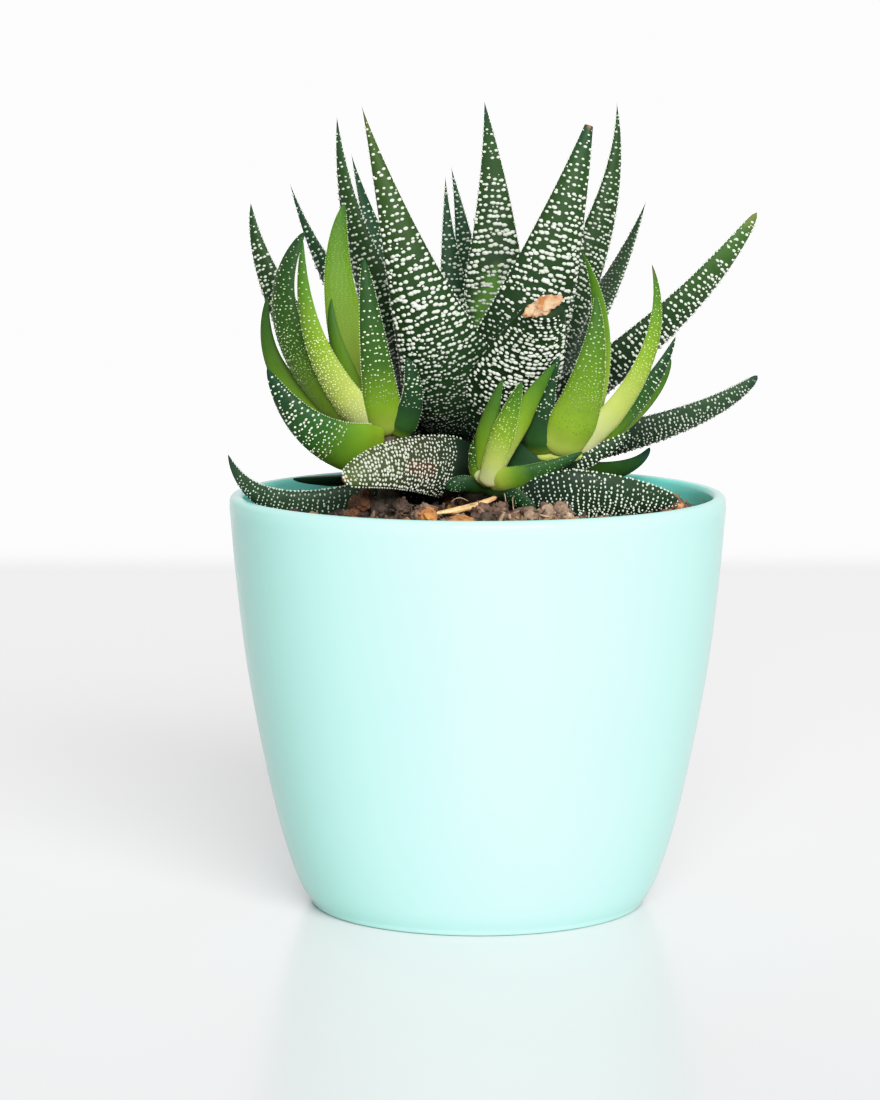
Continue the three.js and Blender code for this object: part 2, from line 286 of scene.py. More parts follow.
@dataclass(frozen=True)
class GlazeFinish:
    """Opaque aqua glaze on ceramic, with a few specks fired into it."""

    name: str = "aqua_glaze"
    body: Colour = srgb(147, 205, 194)
    thin: Colour = srgb(155, 210, 200)
    speck: Colour = srgb(60, 96, 92)
    speck_places: tuple[Point, ...] = (
        (-22.7, -37, 36.5), (-8.2, -38.3, 17), (-16.6, -31.3, 9.8), (-26.6, -33.5, 50))
    speck_radius: float = 0.32 * MM

    def material(self) -> Material:
        """Makes the glaze with its soft unevenness, specks and gloss.

        Returns:
            The material.
        """
        bench = NodeBench(self.name)
        tint = bench.blend("MIX", bench.object_noise(scale=26.0, detail=2.0), self.body, self.thin)
        place = bench.object_place()
        for spot in self.speck_places:
            away = bench.add("VectorMath", operation="DISTANCE")
            bench.join(place, away.inputs[0])
            away.inputs[1].default_value = [value * MM for value in spot]
            near = bench.ramp(away.outputs["Value"], self.speck_radius, 2 * self.speck_radius, 1.0, 0.0)
            tint = bench.blend("MIX", near, tint, self.speck)
        bench.feed(tint, "Base Color")
        bench.relief(bench.object_noise(scale=300.0, detail=1.0), depth=0.00004, strength=0.25)
        bench.set(Roughness=0.22, IOR=1.25, Coat_Weight=0.05, Coat_Roughness=0.05)
        return bench.material


@dataclass(frozen=True)
class CallusFinish:
    """Corky tissue over an old wound, pale with rusty hollows."""

    pale: Colour = srgb(178, 142, 110)
    rusty: Colour = srgb(146, 88, 48)

    def material(self) -> Material:
        """Makes the cork with its patches and rough relief.

        Returns:
            The material.
        """
        bench = NodeBench("callus")
        cloud = bench.object_noise(scale=620.0, detail=5.0)
        share = bench.spread(cloud, low=-2.2, high=2.7)
        bench.feed(bench.blend("MIX", share, self.pale, self.rusty), "Base Color")
        bench.relief(cloud, depth=0.0005, strength=0.9)
        bench.set(Roughness=0.8, IOR=1.4, Specular_IOR_Level=0.3)
        return bench.material


@dataclass(frozen=True)
class LeafFinish:
    """Leaf skin, whose colour runs along each leaf in its own "tone" attribute."""

    name: str
    roughness: float = 0.5
    rough_range: Pair = (0.1, 0.12)
    glow: float = 0.0
    mottle: float = 0.3
    depth: float = 0.42
    shine: float = 0.08

    def material(self) -> Material:
        """Makes the skin with mottling, fine pores and, on young leaves, light passing through.

        Returns:
            The material.
        """
        bench = NodeBench(self.name)
        mottling = bench.object_noise(scale=420.0, detail=4.0)
        shade = bench.spread(mottling, self.depth * (1 - self.mottle), self.depth * (1 + self.mottle))
        bench.paint_tone(bench.grey(shade))
        smoother, rougher = self.rough_range
        sheen = bench.spread(mottling, self.roughness - smoother, self.roughness + rougher)
        bench.feed(sheen, "Roughness")
        bench.relief(bench.object_noise(scale=2600.0, detail=2.0), depth=0.00006, strength=0.5)
        bench.set(IOR=1.42, Specular_IOR_Level=self.shine)
        if self.glow:
            bench.set(
                Subsurface_Weight=self.glow,
                Subsurface_Radius=(0.5, 1.4, 0.2),
                Subsurface_Scale=0.0012,
            )
        return bench.material


@dataclass(frozen=True)
class TubercleFinish:
    """The chalky skin of the raised tubercles and margin teeth, tinted by the "tone" attribute."""

    fresh: Colour = (1.0, 1.0, 1.0)
    worn: Colour = srgb(214, 218, 204)

    def material(self) -> Material:
        """Makes the white with a little variation from one tubercle to the next.

        Returns:
            The material.
        """
        bench = NodeBench("tubercle_white")
        share = bench.spread(bench.object_noise(scale=500.0, detail=2.0), low=-0.6, high=1.3)
        bench.paint_tone(bench.blend("MIX", share, self.fresh, self.worn))
        bench.set(Roughness=0.5, IOR=1.45)
        return bench.material


@dataclass(frozen=True)
class GrainFinish:
    """Dry plant matter: peat, bark, the stems' husk and root fibres, tinted by "tone"."""

    name: str
    fibre: float
    grain: float
    roughness: float = 0.85
    depth: float = 0.0003

    def material(self) -> Material:
        """Makes the finish with its dark pores and rough relief.

        Returns:
            The material.
        """
        bench = NodeBench(self.name)
        grain = bench.object_noise(scale=self.grain, detail=6.0)
        both = bench.add("Math", operation="MULTIPLY")
        bench.join(grain, both.inputs[0])
        bench.join(bench.object_noise(scale=self.fibre, detail=3.0), both.inputs[1])
        bench.paint_tone(bench.grey(bench.spread(both.outputs["Value"], low=0.35, high=2.6)))
        bench.relief(grain, self.depth, strength=0.9)
        bench.set(Roughness=self.roughness, IOR=1.4)
        return bench.material


class Piece:
    """One finished object of the model: a bmesh shape, its materials and its place under the body."""

    def __init__(self, name: str, slot: str, nodes: tuple[str, ...] = ()) -> None:
        """Starts an empty shape.

        Args:
            name: the object's name.
            slot: the record's material slot, which is not used.
            nodes: the CAD nodes that it stands for.
        """
        self.name = name
        self.slot = slot
        self.nodes = nodes
        self.shape = bmesh.new()
        self.tone = self.shape.verts.layers.float_color.new("tone")

    def chunk(self) -> "Piece":
        """Starts a small part of this piece, because many copies are made faster in small shapes."""
        return Piece(self.name, self.slot)

    def absorb(self, part: "Piece") -> None:
        """Takes over the shape of a chunk.

        Args:
            part: the chunk, which is used up.
        """
        mesh = bpy.data.meshes.new("part")
        part.shape.to_mesh(mesh)
        part.shape.free()
        self.shape.from_mesh(mesh)
        bpy.data.meshes.remove(mesh)

    def paint(self, verts: list[bmesh.types.BMVert], colour: Colour) -> None:
        """Gives some of the vertices a colour."""
        for vert in verts:
            vert[self.tone] = (*colour, 1.0)

    def finish(self, *materials: Material, turn_out: bool = True, flat: bool = False) -> None:
        """Makes the object and attaches it to the body.

        Args:
            materials: one for each material index that the faces use.
            turn_out: whether the faces' normals are recalculated to point outwards.
            flat: whether the faces stay sharp, as on broken crumbs.
        """
        if turn_out:
            bmesh.ops.recalc_face_normals(self.shape, faces=self.shape.faces)
        for face in self.shape.faces:
            face.smooth = not flat
        mesh = bpy.data.meshes.new(self.name)
        self.shape.to_mesh(mesh)
        triangles = sum(len(face.verts) - 2 for face in self.shape.faces)
        self.shape.free()
        for material in materials:
            mesh.materials.append(material)
        piece = add_object(self.name, mesh)
        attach(piece, BODY)
        if self.nodes:
            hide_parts(*self.nodes)
        log.info("%s: %d triangles", self.name, triangles)


class Catmull:
    """A smooth curve through a few points, for the pot's outline."""

    def __init__(self, points: tuple[Pair, ...]) -> None:
        """Keeps the points."""
        self.points = points

    def at(self, share: float) -> Pair:
        """The point at a share of the way, counted in stretches between points.

        Args:
            share: from 0 at the first point to 1 at the last.

        Returns:
            The point.
        """
        place = share * (len(self.points) - 1)
        index = min(int(place), len(self.points) - 2)
        part = place - index
        last = len(self.points) - 1
        before, start, end, after = (
            self.points[max(0, index - 1)],
            self.points[index],
            self.points[index + 1],
            self.points[min(last, index + 2)],
        )
        return tuple(self.blend(before[k], start[k], end[k], after[k], part) for k in (0, 1))

    @staticmethod
    def blend(before: float, start: float, end: float, after: float, part: float) -> float:
        """One coordinate between start and end.

        Args:
            before: the coordinate of the point before start.
            start: the coordinate of the stretch's first point.
            end: the coordinate of its last point.
            after: the coordinate of the point after end.
            part: the share of the stretch.

        Returns:
            The coordinate there.
        """
        slope_in = (end - before) / 2
        slope_out = (after - start) / 2
        cubic = (2 * start - 2 * end + slope_in + slope_out) * part ** 3
        square = (-3 * start + 3 * end - 2 * slope_in - slope_out) * part ** 2
        return cubic + square + slope_in * part + start


@dataclass
class GlazedPot:
    """The round pot: flat foot, gently bulging wall, rounded lip and the wall inside."""

    foot_radius: float = 28.9
    lip_radius: float = 42.5
    height: float = 71.0
    wall: float = 2.45
    floor: float = 4.0
    foot_rounding: float = 0.8
    bulge: tuple[Pair, ...] = (
        (31.1, 4.5), (34.2, 14.0), (37.4, 28.5), (39.9, 43.0), (41.6, 58.0))
    lip_depth: float = 2.5
    inner_foot: float = 3.0
    inward: float = 0.5
    steps: int = 144
    wall_steps: int = 48
    lip_steps: int = 12
    foot_steps: int = 3

    def outline(self) -> Catmull:
        """The outer wall as radius and height."""
        foot = (self.foot_radius, self.foot_rounding)
        return Catmull((foot, *self.bulge, (self.lip_radius, self.height - self.lip_depth)))

    def profile(self) -> list[Pair]:
        """The whole section from the axis under the foot, over the lip, to the axis inside.

        Returns:
            Its radii and heights in millimetres.
        """
        outline = self.outline()
        outer = [outline.at(k / self.wall_steps) for k in range(self.wall_steps + 1)]
        lip = self.wall / 2
        centre = (self.lip_radius - lip, self.height - lip)
        turns = [math.pi * k / self.lip_steps for k in range(1, self.lip_steps)]
        over = [(centre[0] + lip * math.cos(t), centre[1] + lip * math.sin(t)) for t in turns]
        foot_turns = [math.pi / 2 * k / self.foot_steps for k in range(self.foot_steps)]
        foot = [
            (
                self.foot_radius - self.foot_rounding * (1 - math.sin(t)),
                self.foot_rounding * (1 - math.cos(t)),
            )
            for t in foot_turns
        ]
        inner = [(r - self.wall, z) for r, z in reversed(outer) if z > self.floor + self.inner_foot]
        floor = ((self.foot_radius - self.wall, self.floor), (0.0, self.floor))
        return [(0.0, 0.0), *foot, *outer, *over, *inner, *floor]

    def build(self, glaze: Material, inner_glaze: Material) -> None:
        """Spins the section round the axis and gives the wall inside a deeper teal glaze, as painted shade
        and painted bounced light.

        Args:
            glaze: the finish outside.
            inner_glaze: the finish inside, a deeper teal that is painted shade and painted bounced light.
        """
        piece = Piece("glazed_pot", "glaze", ("pot",))
        bm = piece.shape
        spin_section(bm, self.profile(), self.steps)
        bmesh.ops.recalc_face_normals(bm, faces=bm.faces)
        for face in bm.faces:
            middle = face.calc_center_median()
            inwards = -(face.normal.x * middle.x + face.normal.y * middle.y)
            # faces that look inwards take the inner glaze with its painted shade and painted bounced light
            if inwards > self.inward * math.hypot(middle.x, middle.y):
                face.material_index = 1
        piece.finish(glaze, inner_glaze, turn_out=False)


@dataclass(frozen=True)
class Scheme:
    """Colours at five places along a leaf, for its outer and its inner face."""

    places: tuple[float, ...]
    outer: tuple[Colour, ...]
    inner: tuple[Colour, ...]

    @classmethod
    def shown(cls, places: tuple[float, ...], *outer: Screen, inner: tuple[Screen, ...] = ()) -> "Scheme":
        """Makes a scheme from screen values.

        Args:
            places: the places, from 0 at the root to 1 at the tip.
            outer: the outer face's colour at each of them.
            inner: the inner face's colours, where they differ.

        Returns:
            The scheme.
        """
        return cls(places, palette(*outer), palette(*(inner or outer)))

    def read(self, along: float, inside: float) -> Colour:
        """Reads the colour at a place.

        Args:
            along: the share of the leaf's length.
            inside: 0 on the outer face and 1 on the inner one.

        Returns:
            The colour.
        """
        for low, high, k in zip(self.places, self.places[1:], range(len(self.places))):
            if along <= high:
                share = (along - low) / (high - low)
                outer = mix(self.outer[k], self.outer[k + 1], share)
                return mix(outer, mix(self.inner[k], self.inner[k + 1], share), inside)
        return mix(self.outer[-1], self.inner[-1], inside)


class Coat(Enum):
    """The colours of the leaves: the places from the root to the tip, then a tone at each."""

    OLD = Scheme.shown(
        (0, 0.3, 0.6, 0.85, 1),
        (29, 52, 30), (34, 60, 32), (46, 76, 38), (54, 86, 44), (44, 82, 54))
    OLD_SHADED = Scheme.shown(
        (0, 0.3, 0.6, 0.85, 1),
        (24, 48, 34), (30, 56, 40), (38, 72, 46), (42, 80, 52), (36, 76, 60))
    OLIVE_TIP = Scheme.shown(
        (0, 0.3, 0.6, 0.92, 1),
        (28, 52, 28), (34, 64, 32), (48, 78, 38), (70, 100, 46), (112, 98, 56))
    GREEN_TIP = Scheme.shown(
        (0, 0.3, 0.6, 0.92, 1),
        (30, 48, 34), (34, 56, 36), (44, 76, 40), (74, 114, 50), (132, 148, 72))
    PUP_BRIGHT = Scheme.shown(
        (0, 0.25, 0.55, 0.85, 1),
        (244, 250, 170), (162, 204, 62), (104, 156, 40), (76, 130, 44), (62, 112, 46),
        inner=((244, 250, 170), (172, 208, 66), (126, 174, 46), (96, 146, 40), (66, 118, 42)))
    PUP_LIME = Scheme.shown(
        (0, 0.25, 0.5, 0.8, 1),
        (250, 255, 190), (226, 246, 120), (160, 204, 56), (98, 152, 44), (64, 116, 44))
    PUP_GREEN = Scheme.shown(
        (0, 0.2, 0.42, 0.75, 1),
        (206, 226, 96), (140, 188, 40), (74, 120, 42), (54, 96, 44), (46, 84, 46))
    PUP_DARK = Scheme.shown(
        (0, 0.14, 0.4, 0.8, 1),
        (160, 190, 52), (62, 112, 46), (44, 82, 46), (40, 78, 48), (38, 76, 52))
    PUP_CLASP = Scheme.shown(
        (0, 0.25, 0.45, 0.75, 1),
        (170, 206, 50), (126, 178, 44), (62, 118, 44), (42, 82, 48), (38, 76, 54))
    PUP_SHORT = Scheme.shown(
        (0, 0.16, 0.34, 0.5, 1),
        (226, 238, 130), (196, 220, 80), (120, 168, 44), (58, 106, 46), (48, 94, 50))
    RIM = Scheme.shown(
        (0, 0.3, 0.6, 0.85, 1),
        (32, 52, 40), (44, 66, 50), (54, 80, 54), (56, 84, 56), (44, 76, 56))
    PUP_SAPPY = Scheme.shown(
        (0, 0.16, 0.4, 0.72, 1),
        (224, 242, 114), (164, 206, 56), (126, 174, 42), (88, 136, 44), (60, 108, 46))
    DUSTY = Scheme.shown(
        (0, 0.16, 0.4, 0.8, 1),
        (30, 60, 44), (40, 68, 48), (70, 76, 56), (84, 96, 58), (96, 116, 58))
    BARE_GREEN = Scheme.shown(
        (0, 0.2, 0.5, 0.8, 1),
        (120, 70, 50), (78, 110, 40), (58, 104, 36), (48, 96, 50), (30, 84, 84))


@dataclass(frozen=True)
class Warts:
    """How the tubercles of one face lie: in cross bands that get looser towards the tip.

    Threes are values at the start, the middle and the end of the banded stretch, in millimetres.
    Thinning is how fast gaps open near the tip, and shaded is how much darker the first bands are
    painted, as painted shade for the shadow that the leaves round the root cast on them.
    """

    first: float = 0.05
    last: float = 0.95
    band_step: Three = (0.72, 1.08, 1.3)
    dot_step: Three = (0.66, 0.94, 1.0)
    radius: Three = (0.1, 0.48, 0.26)
    merge: float = 0.5
    bow: float = 0.6
    shake: float = 0.17
    wave: float = 0.5
    gaps: float = 0.04
    thinning: float = 0.9
    specks: float = 0.22
    # painted shade: how much darker the first bands are, for the leaves' shadow round the root
    shaded: float = 0.84
    tint: Colour = srgb(190, 196, 184)


OLD_WARTS = Warts()
INNER_WARTS = Warts(
    first=0.15, band_step=(1.3, 1.8, 2.4), dot_step=(1.0, 1.2, 1.4), radius=(0.26, 0.38, 0.26))
# FAN_WARTS and SIDE_WARTS are tinted dimmer than OLD_WARTS, as painted shade for the leaves at the back and
# sides
FAN_WARTS = Warts(
    band_step=(1.0, 1.3, 1.6), dot_step=(0.85, 1.05, 1.15), radius=(0.22, 0.4, 0.28), specks=0.1,
    tint=srgb(172, 180, 166),
)
FAINT_WARTS = Warts(
    band_step=(0.8, 0.95, 1.2), dot_step=(0.65, 0.75, 0.85), radius=(0.13, 0.2, 0.16), merge=0.2,
    specks=0.1, tint=srgb(122, 128, 112),
)
SIDE_WARTS = Warts(
    band_step=(0.8, 1.0, 1.25), dot_step=(0.7, 0.84, 0.92), radius=(0.19, 0.33, 0.23), specks=0.12,
    tint=srgb(172, 180, 166),
)
PUP_WARTS = Warts(
    first=0.28, last=0.95, band_step=(0.8, 1.0, 1.4), dot_step=(0.72, 0.85, 1.0),
    radius=(0.1, 0.18, 0.15), merge=0.15, bow=0.3, shake=0.24, specks=0.2, tint=srgb(164, 180, 134),
)
PUP_BANDS = Warts(
    first=0.2, last=0.93, band_step=(0.7, 1.3, 1.8), dot_step=(0.66, 0.82, 1.0),
    radius=(0.09, 0.23, 0.17), merge=0.4, bow=0.4, tint=srgb(196, 204, 172),
)
REACH_WARTS = Warts(
    band_step=(0.82, 1.08, 1.45), dot_step=(0.72, 0.9, 1.0), radius=(0.21, 0.36, 0.3), thinning=0.3,
    tint=srgb(188, 194, 180),
)
FINE_WARTS = Warts(
    band_step=(0.75, 0.85, 1.1), dot_step=(0.62, 0.7, 0.8), radius=(0.19, 0.25, 0.21), merge=0.2,
    specks=0.12, tint=srgb(162, 170, 156),
)
BLUNT_WARTS = Warts(last=0.995)
LOW_WARTS = Warts(
    first=0.2, last=0.97, band_step=(0.66, 0.76, 0.95), dot_step=(0.62, 0.68, 0.76),
    radius=(0.17, 0.28, 0.29), merge=0.3, bow=1.3, shake=0.1, wave=0.35, thinning=0.2, shaded=0.0,
    tint=srgb(174, 178, 164),
)
RIM_WARTS = Warts(
    first=0.04, last=0.86, band_step=(0.8, 0.9, 1.0), dot_step=(0.52, 0.58, 0.62), radius=(0.14, 0.2, 0.16),
    merge=0.3, shake=0.08, wave=0.25, specks=0.1, shaded=0.3, tint=srgb(164, 178, 164),
)
ROW_WARTS = Warts(
    first=0.04, last=0.97, band_step=(0.76, 0.86, 0.95), dot_step=(0.58, 0.64, 0.7),
    radius=(0.18, 0.25, 0.2), merge=0.1, shake=0.09, wave=0.3, thinning=0.2, specks=0.15, shaded=0.5,
    tint=srgb(190, 200, 184),
)
CLASP_WARTS = Warts(
    first=0.33, band_step=(0.85, 1.0, 1.25), dot_step=(0.72, 0.8, 0.9), radius=(0.16, 0.26, 0.21),
    tint=srgb(188, 196, 174),
)
PUP_ROWS = Warts(
    first=0.12, last=0.95, band_step=(0.42, 0.42, 0.5), dot_step=(0.7, 0.74, 0.8), radius=(0.06, 0.09, 0.08),
    merge=0.0, bow=0.1, shake=0.05, wave=0.1, specks=0.0, tint=srgb(124, 160, 66),
)
BUD_WARTS = Warts(
    first=0.25, last=0.9, band_step=(0.6, 0.66, 0.8), dot_step=(0.52, 0.6, 0.7), radius=(0.07, 0.11, 0.09),
    merge=0.1, bow=0.2, shake=0.2, tint=srgb(196, 214, 138),
)
SPROUT_WARTS = Warts(
    first=0.5, last=0.9, band_step=(0.75, 0.8, 0.9), dot_step=(0.65, 0.7, 0.8), radius=(0.07, 0.12, 0.1),
    merge=0.1, bow=0.2, shake=0.2, tint=srgb(140, 164, 112),
)
LATE_WARTS = Warts(
    first=0.4, band_step=(0.8, 0.95, 1.2), dot_step=(0.7, 0.8, 0.9), radius=(0.1, 0.23, 0.2), merge=0.3,
    tint=srgb(176, 186, 158),
)
LIME_GRAIN = Warts(
    first=0.14, last=0.6, band_step=(0.55, 0.6, 0.7), dot_step=(0.56, 0.6, 0.7), radius=(0.08, 0.14, 0.13),
    merge=0.0, bow=0.2, shake=0.2, specks=0.0, shaded=0.0, tint=srgb(206, 222, 132),
)
PUP_GRAIN = Warts(
    first=0.16, last=0.5, band_step=(0.6, 0.6, 0.7), dot_step=(0.62, 0.62, 0.7), radius=(0.09, 0.14, 0.12),
    merge=0.0, bow=0.2, shake=0.2, specks=0.0, tint=srgb(126, 156, 74),
)
NO_WARTS = Warts(first=1.0, last=1.0)


@dataclass(frozen=True)
class Blotch:
    """A patch of another colour on a leaf: its place along and around, its size and its colour."""

    along: float
    turn: float
    length: float
    width: float
    colour: Colour


@dataclass(frozen=True)
class Leaf:
    """One leaf, in millimetres and degrees.

    The curve runs from the crown to the tip and leans towards pull. Face is the azimuth and the
    elevation that the outer face looks to. A cut below 1 ends the leaf there in a flat scar. Base
    is where the leaf starts, if that isn't on the crown. Neck is its width there as a share of its
    full width, which it reaches at the share belly of its length.
    """

    name: str
    tip: Point
    pull: Point
    face: Pair
    width: float
    fullness: float = 1.15
    cut: float = 1.0
    thickness: float = 0.36
    coat: Coat = Coat.OLD
    outer: Warts = OLD_WARTS
    inner: Warts = INNER_WARTS
    grain: Warts = NO_WARTS
    teeth: float = 0.23
    blotches: tuple[Blotch, ...] = ()
    base: Point | None = None
    neck: float = 0.82
    belly: float = 0.2


@dataclass(frozen=True)
class Crown:
    """Where the leaves of a rosette root: its centre, stem, and lowest and highest leaf root."""

    at: Pair
    stem: float
    root_reach: float
    low: float
    high: float
    steep_rise: float = 70.0
    pull_in: float = 0.4

    def root_of(self, leaf: Leaf) -> Vector:
        """Where a leaf leaves the crown: on the side it leans to, and higher up when it is steep.

        Args:
            leaf: the leaf.

        Returns:
            The place in millimetres.
        """
        if leaf.base is not None:
            return Vector(leaf.base)
        out = Vector((leaf.pull[0] - self.at[0], leaf.pull[1] - self.at[1])).normalized()
        run = math.hypot(leaf.tip[0] - self.at[0], leaf.tip[1] - self.at[1])
        rise = math.degrees(math.atan2(leaf.tip[2] - self.low, run))
        steep = min(1.0, max(0.0, rise / self.steep_rise))
        reach = self.root_reach * (1 - self.pull_in * steep)
        height = self.low + (self.high - self.low) * steep
        return Vector((self.at[0] + reach * out.x, self.at[1] + reach * out.y, height))


@dataclass
class LeafForm:
    """The closed keeled surface of one leaf, with its width, depth and colour at every place."""

    crown: Crown
    leaf: Leaf
    marks: int = 40
    base_depth: float = 0.6
    rounding: float = 0.05
    root_share: float = 0.003
    depth_belly: float = 0.15
    depth_taper: float = 0.85
    outer_share: float = 0.68
    lens: float = 0.66
    probe: float = 0.01
    last_probe: float = 0.999
    margin: float = 0.25
    patch_wobble: float = 0.35
    patch_grain: float = 0.6
    patch_core: float = 0.6
    patch_edge: float = 1.1

    def __post_init__(self) -> None:
        """Places the leaf on its crown and measures its length."""
        self.root = self.crown.root_of(self.leaf)
        self.pull = Vector(self.leaf.pull)
        self.tip = Vector(self.leaf.tip)
        azimuth, elevation = (math.radians(angle) for angle in self.leaf.face)
        self.facing = Vector((
            math.cos(azimuth) * math.cos(elevation),
            math.sin(azimuth) * math.cos(elevation),
            math.sin(elevation),
        ))
        marks = [self.centre(k / self.marks) for k in range(self.marks + 1)]
        self.length = sum((b - a).length for a, b in zip(marks, marks[1:]))

    def centre(self, along: float) -> Vector:
        """A point of the leaf's midline."""
        left = 1 - along
        return self.root * left * left + self.pull * 2 * left * along + self.tip * along * along

    def tangent(self, along: float) -> Vector:
        """The midline's direction towards the tip."""
        return ((self.pull - self.root) * (1 - along) + (self.tip - self.pull) * along).normalized()

    def axes(self, along: float) -> tuple[Vector, Vector]:
        """The directions across the leaf and out of its outer face.

        Args:
            along: the share of the leaf's length.

        Returns:
            Both directions.
        """
        tangent = self.tangent(along)
        outward = (self.facing - tangent * self.facing.dot(tangent)).normalized()
        return tangent.cross(outward), outward

    def share(self, along: float) -> float:
        """The width at a place.

        Args:
            along: the share of the leaf's length.

        Returns:
            The width as a share of the leaf's full width.
        """
        at = along * self.leaf.cut
        neck, belly = self.leaf.neck, self.leaf.belly
        if at < belly:
            rounded = min(1.0, (at + self.root_share) / self.rounding) ** 0.5
            return rounded * (neck + (1 - neck) * smooth(0.0, belly, at))
        return max(0.0, (1 - at) / (1 - belly)) ** self.leaf.fullness

    def point(self, along: float, turn: float) -> Vector:
        """A point of the surface.

        Args:
            along: the share of the leaf's length.
            turn: the angle round the leaf, counted from one margin.

        Returns:
            The point in millimetres.
        """
        sideways, outward = self.axes(along)
        share = self.share(along)
        belly = self.base_depth + (1 - self.base_depth) * min(1.0, along / self.depth_belly)
        depth = self.leaf.width * self.leaf.thickness * belly * share ** self.depth_taper
        lift = math.sin(turn)
        height = math.copysign(abs(lift) ** (2 * self.lens), lift)
        side = self.outer_share if lift > 0 else 1 - self.outer_share
        return (
            self.centre(along)
            + sideways * math.cos(turn) * self.leaf.width * share / 2
            + outward * height * side * depth
        )

    def normal(self, along: float, turn: float) -> Vector:
        """The direction straight out of the surface.

        Args:
            along: the share of the leaf's length.
            turn: the angle round the leaf.

        Returns:
            The direction.
        """
        step = self.probe
        higher, lower = min(self.last_probe, along + step), max(0.0, along - step)
        round_it = self.point(along, turn + step) - self.point(along, turn - step)
        up_it = self.point(higher, turn) - self.point(lower, turn)
        return round_it.cross(up_it).normalized() * -1

    def colour(self, along: float, turn: float) -> Colour:
        """The skin's colour at a place, with the leaf's own blotches.

        Args:
            along: the share of the leaf's length.
            turn: the angle round the leaf.

        Returns:
            The colour.
        """
        lift = math.sin(turn)
        inside = smooth(self.margin, -self.margin, lift) if lift < self.margin else 0.0
        tone = self.leaf.coat.value.read(along, inside)
        for blotch in self.leaf.blotches:
            up = (along - blotch.along) * self.length / blotch.length
            across = (math.cos(turn) - math.cos(math.radians(blotch.turn))) * self.leaf.width / 2
            same_face = lift * math.sin(math.radians(blotch.turn)) >= 0
            wobble = self.patch_wobble * noise.noise(self.point(along, turn) * self.patch_grain)
            away = math.hypot(up, across / blotch.width) + wobble
            if same_face and away < self.patch_edge:
                tone = mix(tone, blotch.colour, smooth(self.patch_edge, self.patch_core, away))
        return tone


class Side(Enum):
    """The two faces of a leaf, with the sign of the turn that reaches them from the margin."""

    OUTER = 1
    INNER = -1


@dataclass(frozen=True)
class Face:
    """One face of a leaf while its tubercles are set, with the random draws of the whole leaf."""

    form: LeafForm
    warts: Warts
    side: Side
    draw: random.Random


@dataclass(frozen=True)
class Band:
    """One cross band: its height and its tubercles' radius, their count and its share of the way up."""

    at: float
    count: int
    radius: float
    share: float


